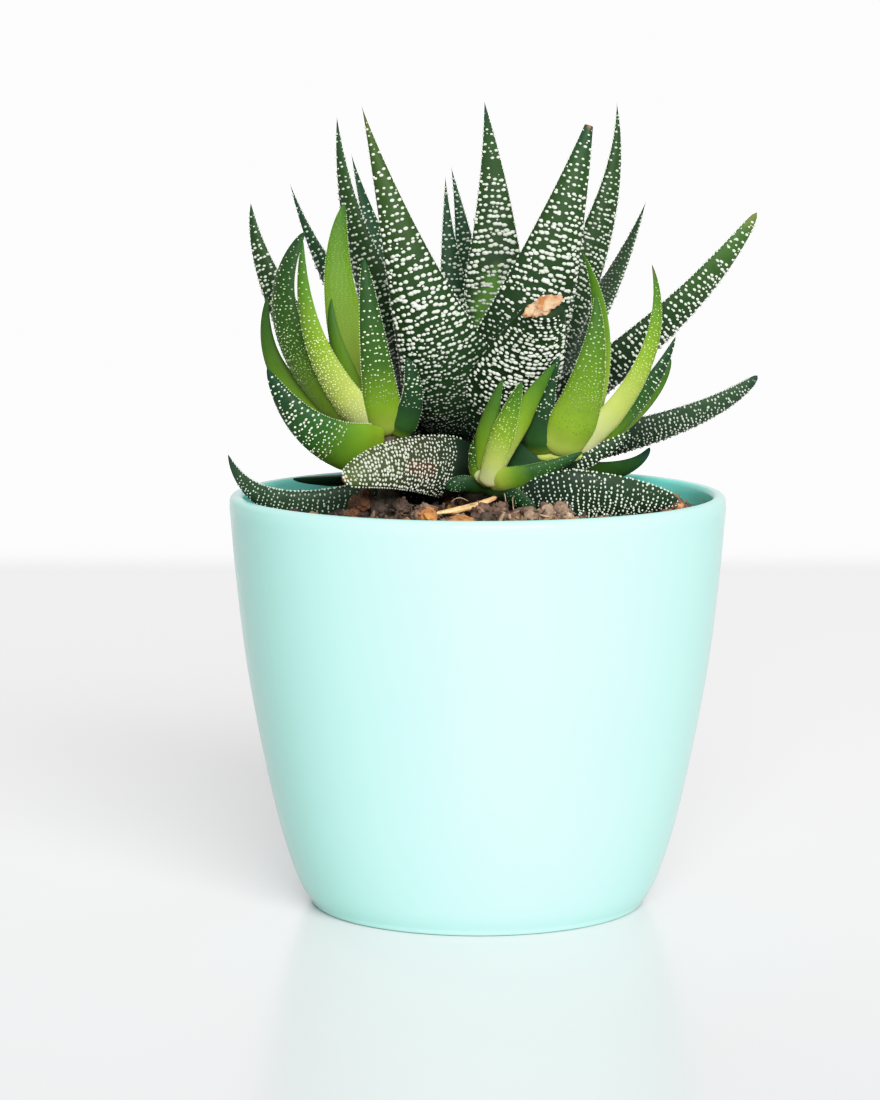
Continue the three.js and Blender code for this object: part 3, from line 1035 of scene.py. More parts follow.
@dataclass
class LeafBuilder:
    """Makes a leaf's mesh: its skin, then its tubercles and margin teeth.

    Pairs are the least and the most that is drawn, apart from painted_shade_fade, between whose two shares
    of the leaf's length the painted shade on the tubercles near the root fades out. Only bare_margin, lean,
    rise and full_rise_at are in millimetres. The other sizes are shares of what they belong to, such as a
    band's step, a tubercle's radius or a tooth's size.
    """

    skin: Material
    white: Material
    rows: int = 60
    around: int = 28
    tip_ring: float = 0.985
    bare_margin: float = 0.4
    band_shake: Pair = (0.88, 1.12)
    band_shift: float = 0.25
    runs: tuple[int, ...] = (2, 2, 3)
    merge_start: float = 1.3
    merge_loss: float = 1.2
    lean: float = 0.14
    crowding: float = 0.7
    aside: float = 0.13
    thin_from: float = 0.72
    sizes: Pair = (0.74, 1.18)
    single_width: float = 1.12
    run_width: float = 1.3
    wart_height: float = 0.8
    wave_across: float = 0.42
    wave_along: float = 0.8
    speck_sizes: Pair = (0.3, 0.5)
    speck_beside: Pair = (0.4, 0.6)
    speck_width: float = 1.1
    rise: float = 0.36
    full_rise_at: float = 0.28
    widest_turn: float = 0.97
    lowest: float = 0.02
    highest: float = 0.975
    highest_cut: float = 0.992
    painted_shade_fade: Pair = (0.1, 0.48)
    teeth_from: float = 0.16
    teeth_to: float = 0.95
    tooth_sizes: Pair = (0.7, 1.1)
    tooth_height: float = 0.9
    tooth_steps: Pair = (2.8, 4.8)

    def build(self, name: str, crown: Crown, leaf: Leaf, slot: str, node: str) -> None:
        """Makes one leaf as a piece.

        Args:
            name: the piece's name, which also seeds its draws.
            crown: the crown that it grows on.
            leaf: its shape and looks.
            slot: the record's material slot.
            node: the CAD node that it stands for.
        """
        form = LeafForm(crown, leaf)
        piece = Piece(name, slot, (node,))
        self.add_skin(piece, form)
        bmesh.ops.recalc_face_normals(piece.shape, faces=piece.shape.faces)
        draw = random.Random(name)
        self.add_face(piece, Face(form, leaf.outer, Side.OUTER, draw))
        self.add_face(piece, Face(form, leaf.grain, Side.OUTER, draw))
        self.add_face(piece, Face(form, leaf.inner, Side.INNER, draw))
        if leaf.teeth:
            self.add_teeth(piece, form, draw)
        piece.finish(self.skin, self.white, turn_out=False)

    def add_skin(self, piece: Piece, form: LeafForm) -> None:
        """Shapes a ball of rows and columns into the leaf.

        Args:
            piece: the leaf's piece.
            form: the surface that it follows.
        """
        made = bmesh.ops.create_uvsphere(
            piece.shape, u_segments=self.around, v_segments=self.rows, radius=1.0)
        last = 1.0 if form.leaf.cut < 1 else self.tip_ring
        for vert in made["verts"]:
            polar = math.acos(max(-1.0, min(1.0, -vert.co.z)))
            row = round(polar / math.pi * self.rows)
            turn = math.atan2(vert.co.y, vert.co.x)
            if row in (0, self.rows):
                along = 0.0 if row == 0 else 1.0
                vert.co = form.centre(along) * MM
            else:
                along = last * (row - 1) / (self.rows - 2)
                vert.co = form.point(along, turn) * MM
            vert[piece.tone] = (*form.colour(along, turn), 1.0)

    def add_wart(self, piece: Piece, form: LeafForm, place: Pair, size: Three, tint: Colour) -> None:
        """Raises one tubercle, a low closed dome, on the skin.

        Args:
            piece: the piece that it joins.
            form: the leaf's surface.
            place: the share of the leaf's length, and the angle round it.
            size: its radius across the leaf, its radius along it and its rise.
            tint: its colour.
        """
        along, turn = place
        across, lengthways, rise = size
        middle = form.point(along, turn)
        out = form.normal(along, turn)
        tangent = form.tangent(along)
        up = (tangent - out * tangent.dot(out)).normalized()
        side = up.cross(out)
        turned = Matrix((
            (side.x * across, up.x * lengthways, out.x * rise, middle.x),
            (side.y * across, up.y * lengthways, out.y * rise, middle.y),
            (side.z * across, up.z * lengthways, out.z * rise, middle.z),
            (0.0, 0.0, 0.0, 1.0),
        ))
        made = bmesh.ops.create_icosphere(
            piece.shape, subdivisions=1, radius=1.0, matrix=Matrix.Scale(MM, 4) @ turned)
        piece.paint(made["verts"], tint)
        for face in {face for vert in made["verts"] for face in vert.link_faces}:
            face.material_index = 1

    def add_face(self, piece: Piece, face: Face) -> None:
        """Covers one face of the leaf with bands of tubercles.

        Args:
            piece: the leaf's piece.
            face: the face and its rule.
        """
        form, warts = face.form, face.warts
        at = warts.first * form.length
        end = warts.last * form.length
        while at < end:
            share = (at / form.length - warts.first) / (warts.last - warts.first)
            width = form.leaf.width * form.share(at / form.length)
            count = max(1, round((width - self.bare_margin) / between(warts.dot_step, share)))
            part = piece.chunk()
            self.add_band(part, face, Band(at, count, between(warts.radius, share), share))
            piece.absorb(part)
            at += between(warts.band_step, share) * face.draw.uniform(*self.band_shake)

    def add_band(self, piece: Piece, face: Face, band: Band) -> None:
        """Sets one cross band of tubercles, some run together into bars, with a few specks beside it.

        Args:
            piece: the chunk that it joins.
            face: the face that it crosses.
            band: the band.
        """
        draw, warts = face.draw, face.warts
        merged = warts.merge * (self.merge_start - self.merge_loss * band.share)
        missing = warts.gaps + warts.thinning * max(0.0, band.share - self.thin_from)
        shift = draw.uniform(-self.band_shift, self.band_shift)
        k = 0
        while k < band.count:
            run = draw.choice(self.runs) if draw.random() < merged else 1
            run = min(run, band.count - k)
            drop = draw.gauss(0, warts.shake)
            lean = draw.uniform(-self.lean, self.lean)
            shown = draw.random() >= missing
            for step in range(run if shown else 0):
                off = step - (run - 1) / 2
                aside = draw.uniform(-self.aside, self.aside)
                middle = (k + run / 2 + off * self.crowding + shift + aside) / band.count
                size = band.radius * draw.uniform(*self.sizes)
                across = size * (self.single_width if run == 1 else self.run_width)
                swell = Vector(((k + step) * self.wave_across, band.at * self.wave_along, face.form.length))
                up = band.at + drop + lean * off + warts.wave * noise.noise(swell)
                self.set_wart(piece, face, up, middle, (across, size * self.wart_height))
            if draw.random() < warts.specks:
                middle = (k + draw.random()) / band.count
                size = band.radius * draw.uniform(*self.speck_sizes)
                beside = band.at + draw.uniform(*self.speck_beside) * between(warts.band_step, band.share)
                self.set_wart(piece, face, beside, middle, (size * self.speck_width, size))
            k += run

    def set_wart(self, piece: Piece, face: Face, at: float, middle: float, size: Pair) -> None:
        """Places one tubercle on its face and darkens it near the leaf's root as painted shade.

        Args:
            piece: the chunk that it joins.
            face: the face that it stands on.
            at: its height along the leaf in millimetres.
            middle: its share of the way across.
            size: its radius across the leaf and its radius along it.
        """
        form, warts = face.form, face.warts
        limit = self.widest_turn
        turn = face.side.value * math.acos(max(-limit, min(limit, 1 - 2 * middle)))
        place = at + warts.bow * math.sin(abs(turn))
        highest = self.highest_cut if form.leaf.cut < 1 else self.highest
        along = min(highest, max(self.lowest, place / form.length))
        across, lengthways = size
        rise = self.rise * min(1.0, lengthways / self.full_rise_at)
        # painted shade: tubercles near the root are darkened for the shadow that the leaves around cast
        # there
        light = 1 - warts.shaded * (1 - smooth(*self.painted_shade_fade, along))
        tint = tuple(channel * light for channel in warts.tint)
        self.add_wart(piece, form, (along, turn), (across, lengthways, rise), tint)

    def add_teeth(self, piece: Piece, form: LeafForm, draw: random.Random) -> None:
        """Sets small white teeth along both margins.

        Args:
            piece: the leaf's piece.
            form: the leaf's surface.
            draw: the leaf's random draws.
        """
        size = form.leaf.teeth
        for turn in (0.0, math.pi):
            row = piece.chunk()
            at = self.teeth_from * form.length
            while at < self.teeth_to * form.length:
                grown = size * draw.uniform(*self.tooth_sizes)
                spread = (grown, grown * self.tooth_height, grown)
                self.add_wart(row, form, (at / form.length, turn), spread, form.leaf.outer.tint)
                at += size * draw.uniform(*self.tooth_steps)
            piece.absorb(row)


@dataclass(frozen=True)
class Lump:
    """A rough body: its place, its half sizes, its turn about the Y axis, its relief and its colour."""

    at: Point
    size: Point
    lean: float = 0.0
    rough: float = 0.3
    cell: float = 1.4
    tone: Colour = (0.1, 0.08, 0.06)
    fading: float = 0.75
    narrowing: float = 2.2
    octaves: int = 4
    shading: float = 0.7
    darkest: float = 0.15

    def add_to(self, piece: Piece, fineness: int) -> None:
        """Adds the body to a piece.

        Args:
            piece: the piece that it joins.
            fineness: how often the ball that it starts from is subdivided.
        """
        centre = Vector(self.at) * MM
        placed = Matrix.Translation(self.at)
        turned = Matrix.Rotation(math.radians(-self.lean), 4, "Y")
        made = bmesh.ops.create_icosphere(
            piece.shape, subdivisions=fineness, radius=1.0,
            matrix=Matrix.Scale(MM, 4) @ placed @ turned @ Matrix.Diagonal((*self.size, 1.0)),
        )
        for vert in made["verts"]:
            place = vert.co / MM / self.cell
            swell = noise.fractal(place, self.fading, self.narrowing, self.octaves)
            vert.co += (vert.co - centre) * self.rough * swell
            # painted shade and light: the tone darkens in the dents and lightens on the bumps of the same
            # noise
            light = max(self.darkest, 1.0 + self.shading * swell)
            vert[piece.tone] = (*(channel * light for channel in self.tone), 1.0)


@dataclass
class Rosette:
    """A stem with its leaves, which together stand for one CAD node."""

    name: str
    node: str
    slot: str
    crown: Crown
    leaves: tuple[Leaf, ...]
    builder: LeafBuilder
    husk: Material
    heel: Lump | None = None
    heel_fineness: int = 4
    stem_foot: float = 56.0
    stem_top: float = 0.6
    stem_sides: int = 24
    stem_cuts: int = 26
    # the stem's dark brown is partly the dry husk's own colour and partly painted shade for the shadow under
    # the leaves
    stem_tone: Colour = srgb(52, 44, 30)
    ring_depth: float = 0.08
    ring_pitch: float = 2.4
    ring_turns: int = 2
    bark_depth: float = 0.12
    bark_grain: float = 700.0

    def build(self) -> None:
        """Makes the stem, the pale heel of some offsets and every leaf."""
        self.build_stem()
        if self.heel is not None:
            heel = Piece(f"{self.name}_heel", self.slot, (self.node,))
            self.heel.add_to(heel, self.heel_fineness)
            heel.finish(self.builder.skin)
        for leaf in self.leaves:
            self.builder.build(f"{self.name}_{leaf.name}", self.crown, leaf, self.slot, self.node)

    def build_stem(self) -> None:
        """Makes the short stem, ringed by the scars of old leaves."""
        piece = Piece(f"{self.name}_stem", self.slot, (self.node,))
        height = self.crown.high - self.stem_foot
        centre = Vector((self.crown.at[0] * MM, self.crown.at[1] * MM, 0.0))
        middle = (centre.x, centre.y, (self.stem_foot + height / 2) * MM)
        bmesh.ops.create_cone(
            piece.shape, cap_ends=True, segments=self.stem_sides, radius1=self.crown.stem * MM,
            radius2=self.crown.stem * self.stem_top * MM, depth=height * MM,
            matrix=Matrix.Translation(middle),
        )
        uprights = [edge for edge in piece.shape.edges
                    if abs(edge.verts[0].co.z - edge.verts[1].co.z) > height * MM / 2]
        bmesh.ops.subdivide_edges(
            piece.shape, edges=uprights, cuts=self.stem_cuts, use_grid_fill=True)
        for vert in piece.shape.verts:
            out = Vector((vert.co.x - centre.x, vert.co.y - centre.y, 0.0))
            if out.length > 0:
                turn = vert.co.z / MM * self.ring_pitch + self.ring_turns * math.atan2(out.y, out.x)
                ring = self.ring_depth * math.sin(turn)
                vert.co += out * (ring + self.bark_depth * noise.noise(vert.co * self.bark_grain))
        # paints the stem dark, partly as painted shade under the leaves
        piece.paint(list(piece.shape.verts), self.stem_tone)
        piece.finish(self.husk)


MAIN_CROWN = Crown(at=(0.5, 2.0), stem=5.0, root_reach=3.0, low=74.0, high=82.0)
LEFT_CROWN = Crown(at=(-15.0, -13.0), stem=2.6, root_reach=1.8, low=77.5, high=82.0)
RIGHT_CROWN = Crown(at=(14.0, -13.0), stem=2.6, root_reach=1.8, low=73.0, high=81.0)
FRONT_CROWN = Crown(at=(2.1, -12.5), stem=1.9, root_reach=1.2, low=72.5, high=75.5)

FRONT_HEEL = Lump((1.7, -17.3, 75.9), (2.4, 1.5, 2.0), rough=0.05, cell=3.0, tone=srgb(240, 250, 170))
RIGHT_HEEL = Lump((13.4, -16.8, 79.1), (4.3, 1.8, 1.3), rough=0.06, cell=3.0, tone=srgb(222, 238, 112))

SIDE = {"outer": SIDE_WARTS, "inner": SIDE_WARTS}
BARE = {"outer": NO_WARTS, "inner": NO_WARTS, "teeth": 0.0}
BUD = {"outer": BUD_WARTS, "inner": BUD_WARTS, "teeth": 0.09}
SPROUT = {"outer": SPROUT_WARTS, "inner": NO_WARTS, "teeth": 0.09}
LATE = {"outer": LATE_WARTS, "inner": NO_WARTS, "teeth": 0.12}
PUP = {"outer": PUP_WARTS, "inner": NO_WARTS, "grain": PUP_GRAIN, "teeth": 0.13}

MAIN_LEAVES = (
    Leaf("tall_left", (-19.5, -12, 137), (-9.5, -20, 101), (262, 0), 18, coat=Coat.OLIVE_TIP),
    Leaf("left_inner", (-24, 4, 135), (-22, 0, 104), (215, 0), 15.5, fullness=1.0, **SIDE),
    Leaf("left_back", (-22, 20, 128.5), (-16, 22, 102.5), (120, 0), 12.5, coat=Coat.OLD_SHADED, **SIDE),
    Leaf("left_outer", (-32.5, 14, 123.5), (-25, 12, 99.5), (215, 0), 13, coat=Coat.OLD_SHADED, **SIDE),
    Leaf("middle", (1.2, 12, 137.5), (5, 16, 111.5), (90, 0), 14.5, fullness=1.02, inner=OLD_WARTS,
         blotches=(Blotch(0.34, 268, 7.5, 5, srgb(88, 146, 42)),)),
    Leaf("blunt_right", (18.5, -6, 133.5), (12.5, -12, 110.5), (282, 0), 17, fullness=1.1, cut=0.91,
         outer=BLUNT_WARTS, blotches=(Blotch(1.0, 90, 1.1, 4, srgb(196, 152, 122)),)),
    Leaf("right_inner", (24, 12, 137.5), (26, 12, 114.5), (300, 0), 12, **SIDE),
    Leaf("right_back", (30, 26, 120), (22.5, 26, 98), (35, 0), 14.5, coat=Coat.RIM,
         outer=SIDE_WARTS, inner=FAINT_WARTS),
    Leaf("right_reach", (47, -4, 119), (34, -6, 98.5), (290, -40), 10, fullness=0.52, coat=Coat.GREEN_TIP,
         outer=REACH_WARTS, inner=REACH_WARTS),
    Leaf("right_low", (49, 14, 90), (40, 14, 80.5), (290, -40), 8.6, fullness=0.5, coat=Coat.RIM,
         outer=FINE_WARTS, inner=FINE_WARTS),
    Leaf("front_scarred", (10.5, -30, 104.5), (8.5, -14, 96.5), (275, -10), 17, fullness=0.9, cut=0.72,
         outer=BLUNT_WARTS, teeth=0.0, blotches=(Blotch(1.0, 90, 4, 12, srgb(44, 66, 38)),)),
    Leaf("front_low", (-22.5, -28, 76), (-13, -28, 81), (262, 5), 10.5, fullness=0.45, coat=Coat.DUSTY,
         outer=LOW_WARTS, teeth=0.24,
         blotches=(
             Blotch(0.45, 100, 4.0, 1.9, srgb(108, 70, 52)),
             Blotch(1.0, 90, 1.5, 3, srgb(190, 104, 66)),
         )),
    Leaf("back_slim", (-5.5, 24, 124.5), (-5, 24, 102.5), (100, 0), 9, coat=Coat.OLD_SHADED, **SIDE),
    Leaf("back_left", (-4.5, 32, 126), (0, 32, 104), (80, 0), 10, coat=Coat.OLD_SHADED, **SIDE),
    Leaf("back_right", (3.5, 22, 126.5), (6, 22, 104.5), (70, 0), 12, coat=Coat.OLD_SHADED, **SIDE),
    Leaf("right_foot", (30.5, 18, 77), (27, 18, 70), (305, -45), 8, fullness=0.6,
         coat=Coat.BARE_GREEN, **BARE),
    Leaf("left_foot", (-32, 8, 72.5), (-23.5, 6, 72.5), (190, -60), 8.5, fullness=0.6,
         coat=Coat.OLD_SHADED, **BARE),
    Leaf("left_rim", (-42.5, -4, 78), (-36.5, -18, 63), (265, -35), 10.5, fullness=0.8, thickness=0.4,
         coat=Coat.RIM, outer=RIM_WARTS, inner=SIDE_WARTS),
    Leaf("heart_left", (-2, 5, 106), (-3, 6, 94), (150, 0), 6, **SIDE),
    Leaf("heart_right", (4, 3, 102), (4, 3, 92), (330, 0), 6, **SIDE),
)

LEFT_LEAVES = (
    Leaf("a", (-22.5, -6, 120.5), (-26.5, -9, 106), (100, 0), 7.8, fullness=0.62, coat=Coat.PUP_BRIGHT,
         outer=PUP_WARTS, inner=PUP_ROWS, teeth=0.13),
    Leaf("b", (-29, -11, 116), (-40, -13, 99.5), (222, 0), 9.4, fullness=0.55, coat=Coat.PUP_GREEN, **PUP),
    Leaf("c", (-29, -19, 115), (-30.5, -21, 95.5), (240, 0), 6.3, fullness=0.7, coat=Coat.PUP_LIME,
         outer=PUP_WARTS, inner=NO_WARTS, grain=LIME_GRAIN, teeth=0.13),
    Leaf("d", (-19, -20, 112), (-17.5, -22, 97), (280, 0), 6.2, fullness=0.6, coat=Coat.PUP_GREEN,
         outer=PUP_BANDS, inner=NO_WARTS, teeth=0.13),
    Leaf("e", (-24.5, -13, 105), (-25.5, -14, 97), (240, 0), 4.2, fullness=0.7, coat=Coat.PUP_SAPPY, **BARE),
    Leaf("f", (-12, -18, 95.5), (-9.2, -17, 88), (285, 0), 4.8, fullness=0.5, coat=Coat.PUP_DARK, **LATE),
    Leaf("g", (-35.5, -6, 105), (-38.5, -6, 87.5), (240, 0), 5.8, fullness=0.6, coat=Coat.PUP_SAPPY, **BARE),
    Leaf("q", (-35, -21, 94), (-29, -24, 80.5), (245, -10), 10, fullness=0.7, coat=Coat.PUP_CLASP,
         outer=CLASP_WARTS, inner=NO_WARTS, teeth=0.12),
    Leaf("e_outer", (-38.5, -1, 120.5), (-37.5, -1, 103), (240, 0), 9, fullness=0.85, coat=Coat.OLD, **SIDE),
    Leaf("rear_low", (-27, 0, 88), (-20, -4, 80), (130, -10), 6.5, fullness=0.8, coat=Coat.PUP_DARK, **PUP),
    Leaf("rear", (-16, -2, 92), (-15, -6, 84), (90, 0), 6, fullness=0.8, coat=Coat.PUP_DARK, **PUP),
)

RIGHT_LEAVES = (
    Leaf("a1", (17, -16, 113), (24.5, -14, 98), (60, 0), 6.2, fullness=0.9, coat=Coat.PUP_BRIGHT,
         base=(14.6, -15.6, 79.6), **PUP),
    Leaf("a2", (19, -22, 107), (20.5, -23, 94.5), (285, 0), 8.4, fullness=0.95, coat=Coat.PUP_SAPPY,
         base=(12.9, -18, 79.0), neck=0.8, **PUP),
    Leaf("b", (28.5, -18, 111), (33, -19, 95), (300, 0), 4.6, fullness=0.7, coat=Coat.PUP_LIME,
         base=(15.6, -17.6, 79.4), blotches=(Blotch(1.0, 90, 2.2, 3, srgb(120, 92, 62)),), **BUD),
    Leaf("c", (33, -11, 98.5), (28.5, -12, 87), (300, -20), 6, fullness=0.7, coat=Coat.PUP_CLASP,
         base=(15.8, -16.8, 79.2), **LATE),
    Leaf("d", (32.5, -7, 94.5), (30.5, -8, 86.5), (300, -20), 4.4, fullness=0.6, coat=Coat.PUP_BRIGHT,
         base=(16.2, -15.6, 79.2), **BARE),
    Leaf("k", (25.4, -16, 82.8), (17, -18, 77.4), (285, -20), 5.2, fullness=0.6, coat=Coat.RIM,
         outer=ROW_WARTS, inner=NO_WARTS, base=(8, -14, 75)),
    Leaf("e", (13.2, -21.5, 96), (8.8, -20, 87), (250, 0), 6.4, fullness=0.65, coat=Coat.PUP_DARK,
         base=(10.6, -17.2, 79.0), neck=0.75, **LATE),
    # leaf j fills in the main rosette's leaf base behind; its dark, bare coat is partly painted shade
    Leaf("j", (10.5, -15.5, 86), (8.6, -16.6, 79), (265, 0), 9, fullness=0.5, coat=Coat.PUP_DARK,
         base=(8.6, -15.2, 73.5), **BARE),
    Leaf("r", (33.5, -15, 71), (19.5, -25.5, 74.3), (275, -35), 11, fullness=0.55, thickness=0.4,
         neck=0.42, belly=0.4, coat=Coat.RIM, outer=ROW_WARTS, inner=SIDE_WARTS, base=(4.0, -16.5, 71.8),
         blotches=(Blotch(1.0, 90, 2.4, 3, srgb(206, 148, 118)),)),
)

FRONT_LEAVES = (
    Leaf("a", (4, -22, 92.5), (0.7, -20.5, 84), (250, 0), 3.9, fullness=0.75, coat=Coat.PUP_SAPPY,
         base=(0.7, -17.4, 75.2), neck=0.62, belly=0.45, **BARE),
    Leaf("b", (7, -25, 92), (3.8, -22, 83.5), (260, 0), 4, fullness=0.6, coat=Coat.PUP_LIME,
         base=(1.3, -18.9, 74.1), neck=0.86, belly=0.5, **BUD),
    Leaf("c", (12.5, -24, 95), (5.6, -21.4, 85.5), (290, 0), 4.3, fullness=0.65, coat=Coat.PUP_LIME,
         base=(2.4, -18.2, 74.8), neck=0.55, belly=0.5, **BARE),
    Leaf("d", (17.2, -20, 80), (8.5, -22.6, 75.4), (280, -20), 4.9, fullness=0.6, coat=Coat.PUP_SHORT,
         outer=SPROUT_WARTS, inner=NO_WARTS, teeth=0.07, base=(1.4, -18.2, 75)),
    Leaf("e", (0.6, -18.6, 84.2), (-2, -17.6, 78.5), (230, 0), 3.4, fullness=0.6, coat=Coat.PUP_GREEN,
         base=(0.7, -16.6, 74.6), **BUD),
    Leaf("g", (-5.5, -17, 73.5), (-3, -18, 75.5), (240, -10), 4, fullness=0.5, coat=Coat.PUP_DARK, **SPROUT),
    Leaf("h", (9.5, -21, 70.5), (4.5, -20, 74), (280, -30), 5.5, fullness=0.5, coat=Coat.PUP_DARK, **SPROUT),
)


@dataclass(frozen=True)
class BackFan:
    """The leaves at the back of the main rosette, fanned out in three tiers."""

    count: int = 9
    first: float = 50.0
    step: float = 12.0
    length: float = 42.0
    width: float = 12.0
    face_down: float = -20.0
    fullness: float = 0.9
    reach_share: float = 0.75
    lift_share: float = 0.35
    rises: tuple[float, ...] = (60.0, 16.0, 42.0)

    def leaves(self, crown: Crown) -> tuple[Leaf, ...]:
        """Returns the fan's leaves, from the right to the left."""
        return tuple(self.leaf(crown, k) for k in range(self.count))

    def leaf(self, crown: Crown, k: int) -> Leaf:
        """One leaf of the fan.

        Args:
            crown: the crown that it grows on.
            k: its number, from the right.

        Returns:
            The leaf.
        """
        azimuth = self.first + self.step * k
        turn = math.radians(azimuth)
        rise = math.radians(self.rises[k % len(self.rises)])
        reach = self.length * math.cos(rise)
        lift = self.length * math.sin(rise)

        def at(share: float, height: float) -> Point:
            """A point of the leaf's upright plane."""
            return (
                crown.at[0] + share * reach * math.cos(turn),
                crown.at[1] + share * reach * math.sin(turn),
                crown.low + height,
            )
        return Leaf(
            f"fan_{k + 1}", at(1.0, lift), at(self.reach_share, self.lift_share * lift),
            (azimuth, self.face_down), self.width, self.fullness, outer=FAN_WARTS, inner=FAN_WARTS,
        )


@dataclass
class Soil:
    """The potting mix: a lumpy top over a plain fill. Lumps are heights with their grain."""

    edge_radius: float = 39.4
    edge_height: float = 67.4
    mound: float = 1.2
    pot_radius: float = 42.5
    steps: int = 200
    rings: int = 62
    foot: tuple[Pair, ...] = ((0.0, 4.4), (26.0, 4.4), (33.5, 20.0), (37.0, 43.0), (39.0, 62.0))
    lumps: tuple[Pair, ...] = ((0.9, 0.22), (0.55, 0.6), (0.25, 1.6))
    lump_layer: float = 3.0
    calm_edge: int = 6
    top_margin: float = 0.1
    tones: tuple[Colour, ...] = palette((38, 31, 26), (80, 67, 55))
    patch_layer: float = 9.0
    patch_grain: float = 0.9
    patch_contrast: float = 0.9

    def height(self, x: float, y: float) -> float:
        """The height of the surface, lumps and all.

        Args:
            x: the place to the right of the pot's axis.
            y: the place behind it.

        Returns:
            The height in millimetres.
        """
        out = min(1.0, math.hypot(x, y) / self.pot_radius)
        mound = self.mound * (1 - out * out)
        place = Vector((x, y, self.lump_layer))
        relief = 0.0
        for rise, grain in self.lumps:
            relief += rise * noise.noise(place * grain)
        return self.edge_height + mound + relief * (1 - out ** self.calm_edge)

    def build(self, earth: Material) -> None:
        """Spins the section, then lifts its top into lumps.

        Args:
            earth: the mix's finish.
        """
        piece = Piece("potting_soil", "soil", ("soil",))
        radii = [self.edge_radius * (1 - k / self.rings) for k in range(self.rings + 1)]
        section = [*self.foot, *((radius, self.edge_height) for radius in radii)]
        spin_section(piece.shape, section, self.steps)
        dark, light = self.tones
        for vert in piece.shape.verts:
            tone = dark
            if vert.co.z > (self.edge_height - self.top_margin) * MM:
                x, y = vert.co.x / MM, vert.co.y / MM
                vert.co.z = self.height(x, y) * MM
                patch = noise.noise(Vector((x, y, self.patch_layer)) * self.patch_grain)
                tone = mix(dark, light, min(1.0, max(0.0, 0.5 + self.patch_contrast * patch)))
            vert[piece.tone] = (*tone, 1.0)
        piece.finish(earth)


@dataclass
class Crumbs:
    """Small crumbs of peat and bark all over the soil. Pairs are the least and the most drawn."""

    soil: Soil
    seed: int = 77
    count: int = 2400
    at_once: int = 50
    reach: float = 0.97
    smallest: float = 0.25
    size_range: float = 0.95
    size_skew: float = 2.4
    edge_room: float = 0.9
    edge_size: float = 0.2
    lift: float = 0.25
    fibrous: float = 0.45
    stretch: Pair = (0.6, 1.25)
    fibre: Three = (2.4, 0.4, 0.35)
    finer_from: float = 0.8
    dent: float = 0.45
    dent_grain: float = 1.3
    dent_shift: float = 90.0
    shadow: Colour = srgb(20, 16, 14)
    most_shadow: float = 0.35
    tones: tuple[Colour, ...] = palette(
        (50, 38, 30), (76, 60, 46), (110, 88, 68), (134, 92, 56), (36, 29, 24), (152, 128, 102),
        (60, 46, 35))

    def build(self, earth: Material) -> None:
        """Scatters the crumbs over the surface.

        Args:
            earth: the mix's finish.
        """
        piece = Piece("soil_crumbs", "soil")
        draw = random.Random(self.seed)
        edge = self.soil.edge_radius
        for _ in range(self.count // self.at_once):
            part = piece.chunk()
            for _ in range(self.at_once):
                out = edge * self.reach * math.sqrt(draw.random())
                turn = draw.uniform(0, 2 * math.pi)
                x, y = out * math.cos(turn), out * math.sin(turn)
                size = self.smallest + self.size_range * draw.random() ** self.size_skew
                size = min(size, (edge - out) * self.edge_room + self.edge_size)
                at = (x, y, self.soil.height(x, y) + self.lift * size)
                self.add_crumb(part, draw, at, size, draw.choice(self.tones))
            piece.absorb(part)
        piece.finish(earth, flat=True)

    def add_crumb(self, piece: Piece, draw: random.Random, at: Point, size: float, tone: Colour) -> None:
        """Adds one rough crumb, round or fibrous.

        Args:
            piece: the piece that it joins.
            draw: the random draws.
            at: its place in millimetres.
            size: its half size in millimetres.
            tone: its colour before it is darkened.
        """
        stretch = [size * draw.uniform(*self.stretch) for _ in range(3)]
        if draw.random() < self.fibrous:
            stretch = [half * share for half, share in zip(stretch, self.fibre)]
        angle = draw.uniform(0, math.pi)
        axis = Vector([draw.uniform(-1, 1) for _ in range(3)]).normalized()
        turned = Matrix.Rotation(angle, 4, axis)
        made = bmesh.ops.create_icosphere(
            piece.shape, subdivisions=1 if size < self.finer_from else 2, radius=1.0,
            matrix=Matrix.Scale(MM, 4) @ Matrix.Translation(at) @ turned @ Matrix.Diagonal((*stretch, 1.0)),
        )
        centre = Vector(at) * MM
        for vert in made["verts"]:
            place = vert.co / MM * self.dent_grain + centre * self.dent_shift
            vert.co += (vert.co - centre) * (self.dent * noise.noise(place))
        piece.paint(made["verts"], mix(tone, self.shadow, draw.uniform(0, self.most_shadow)))


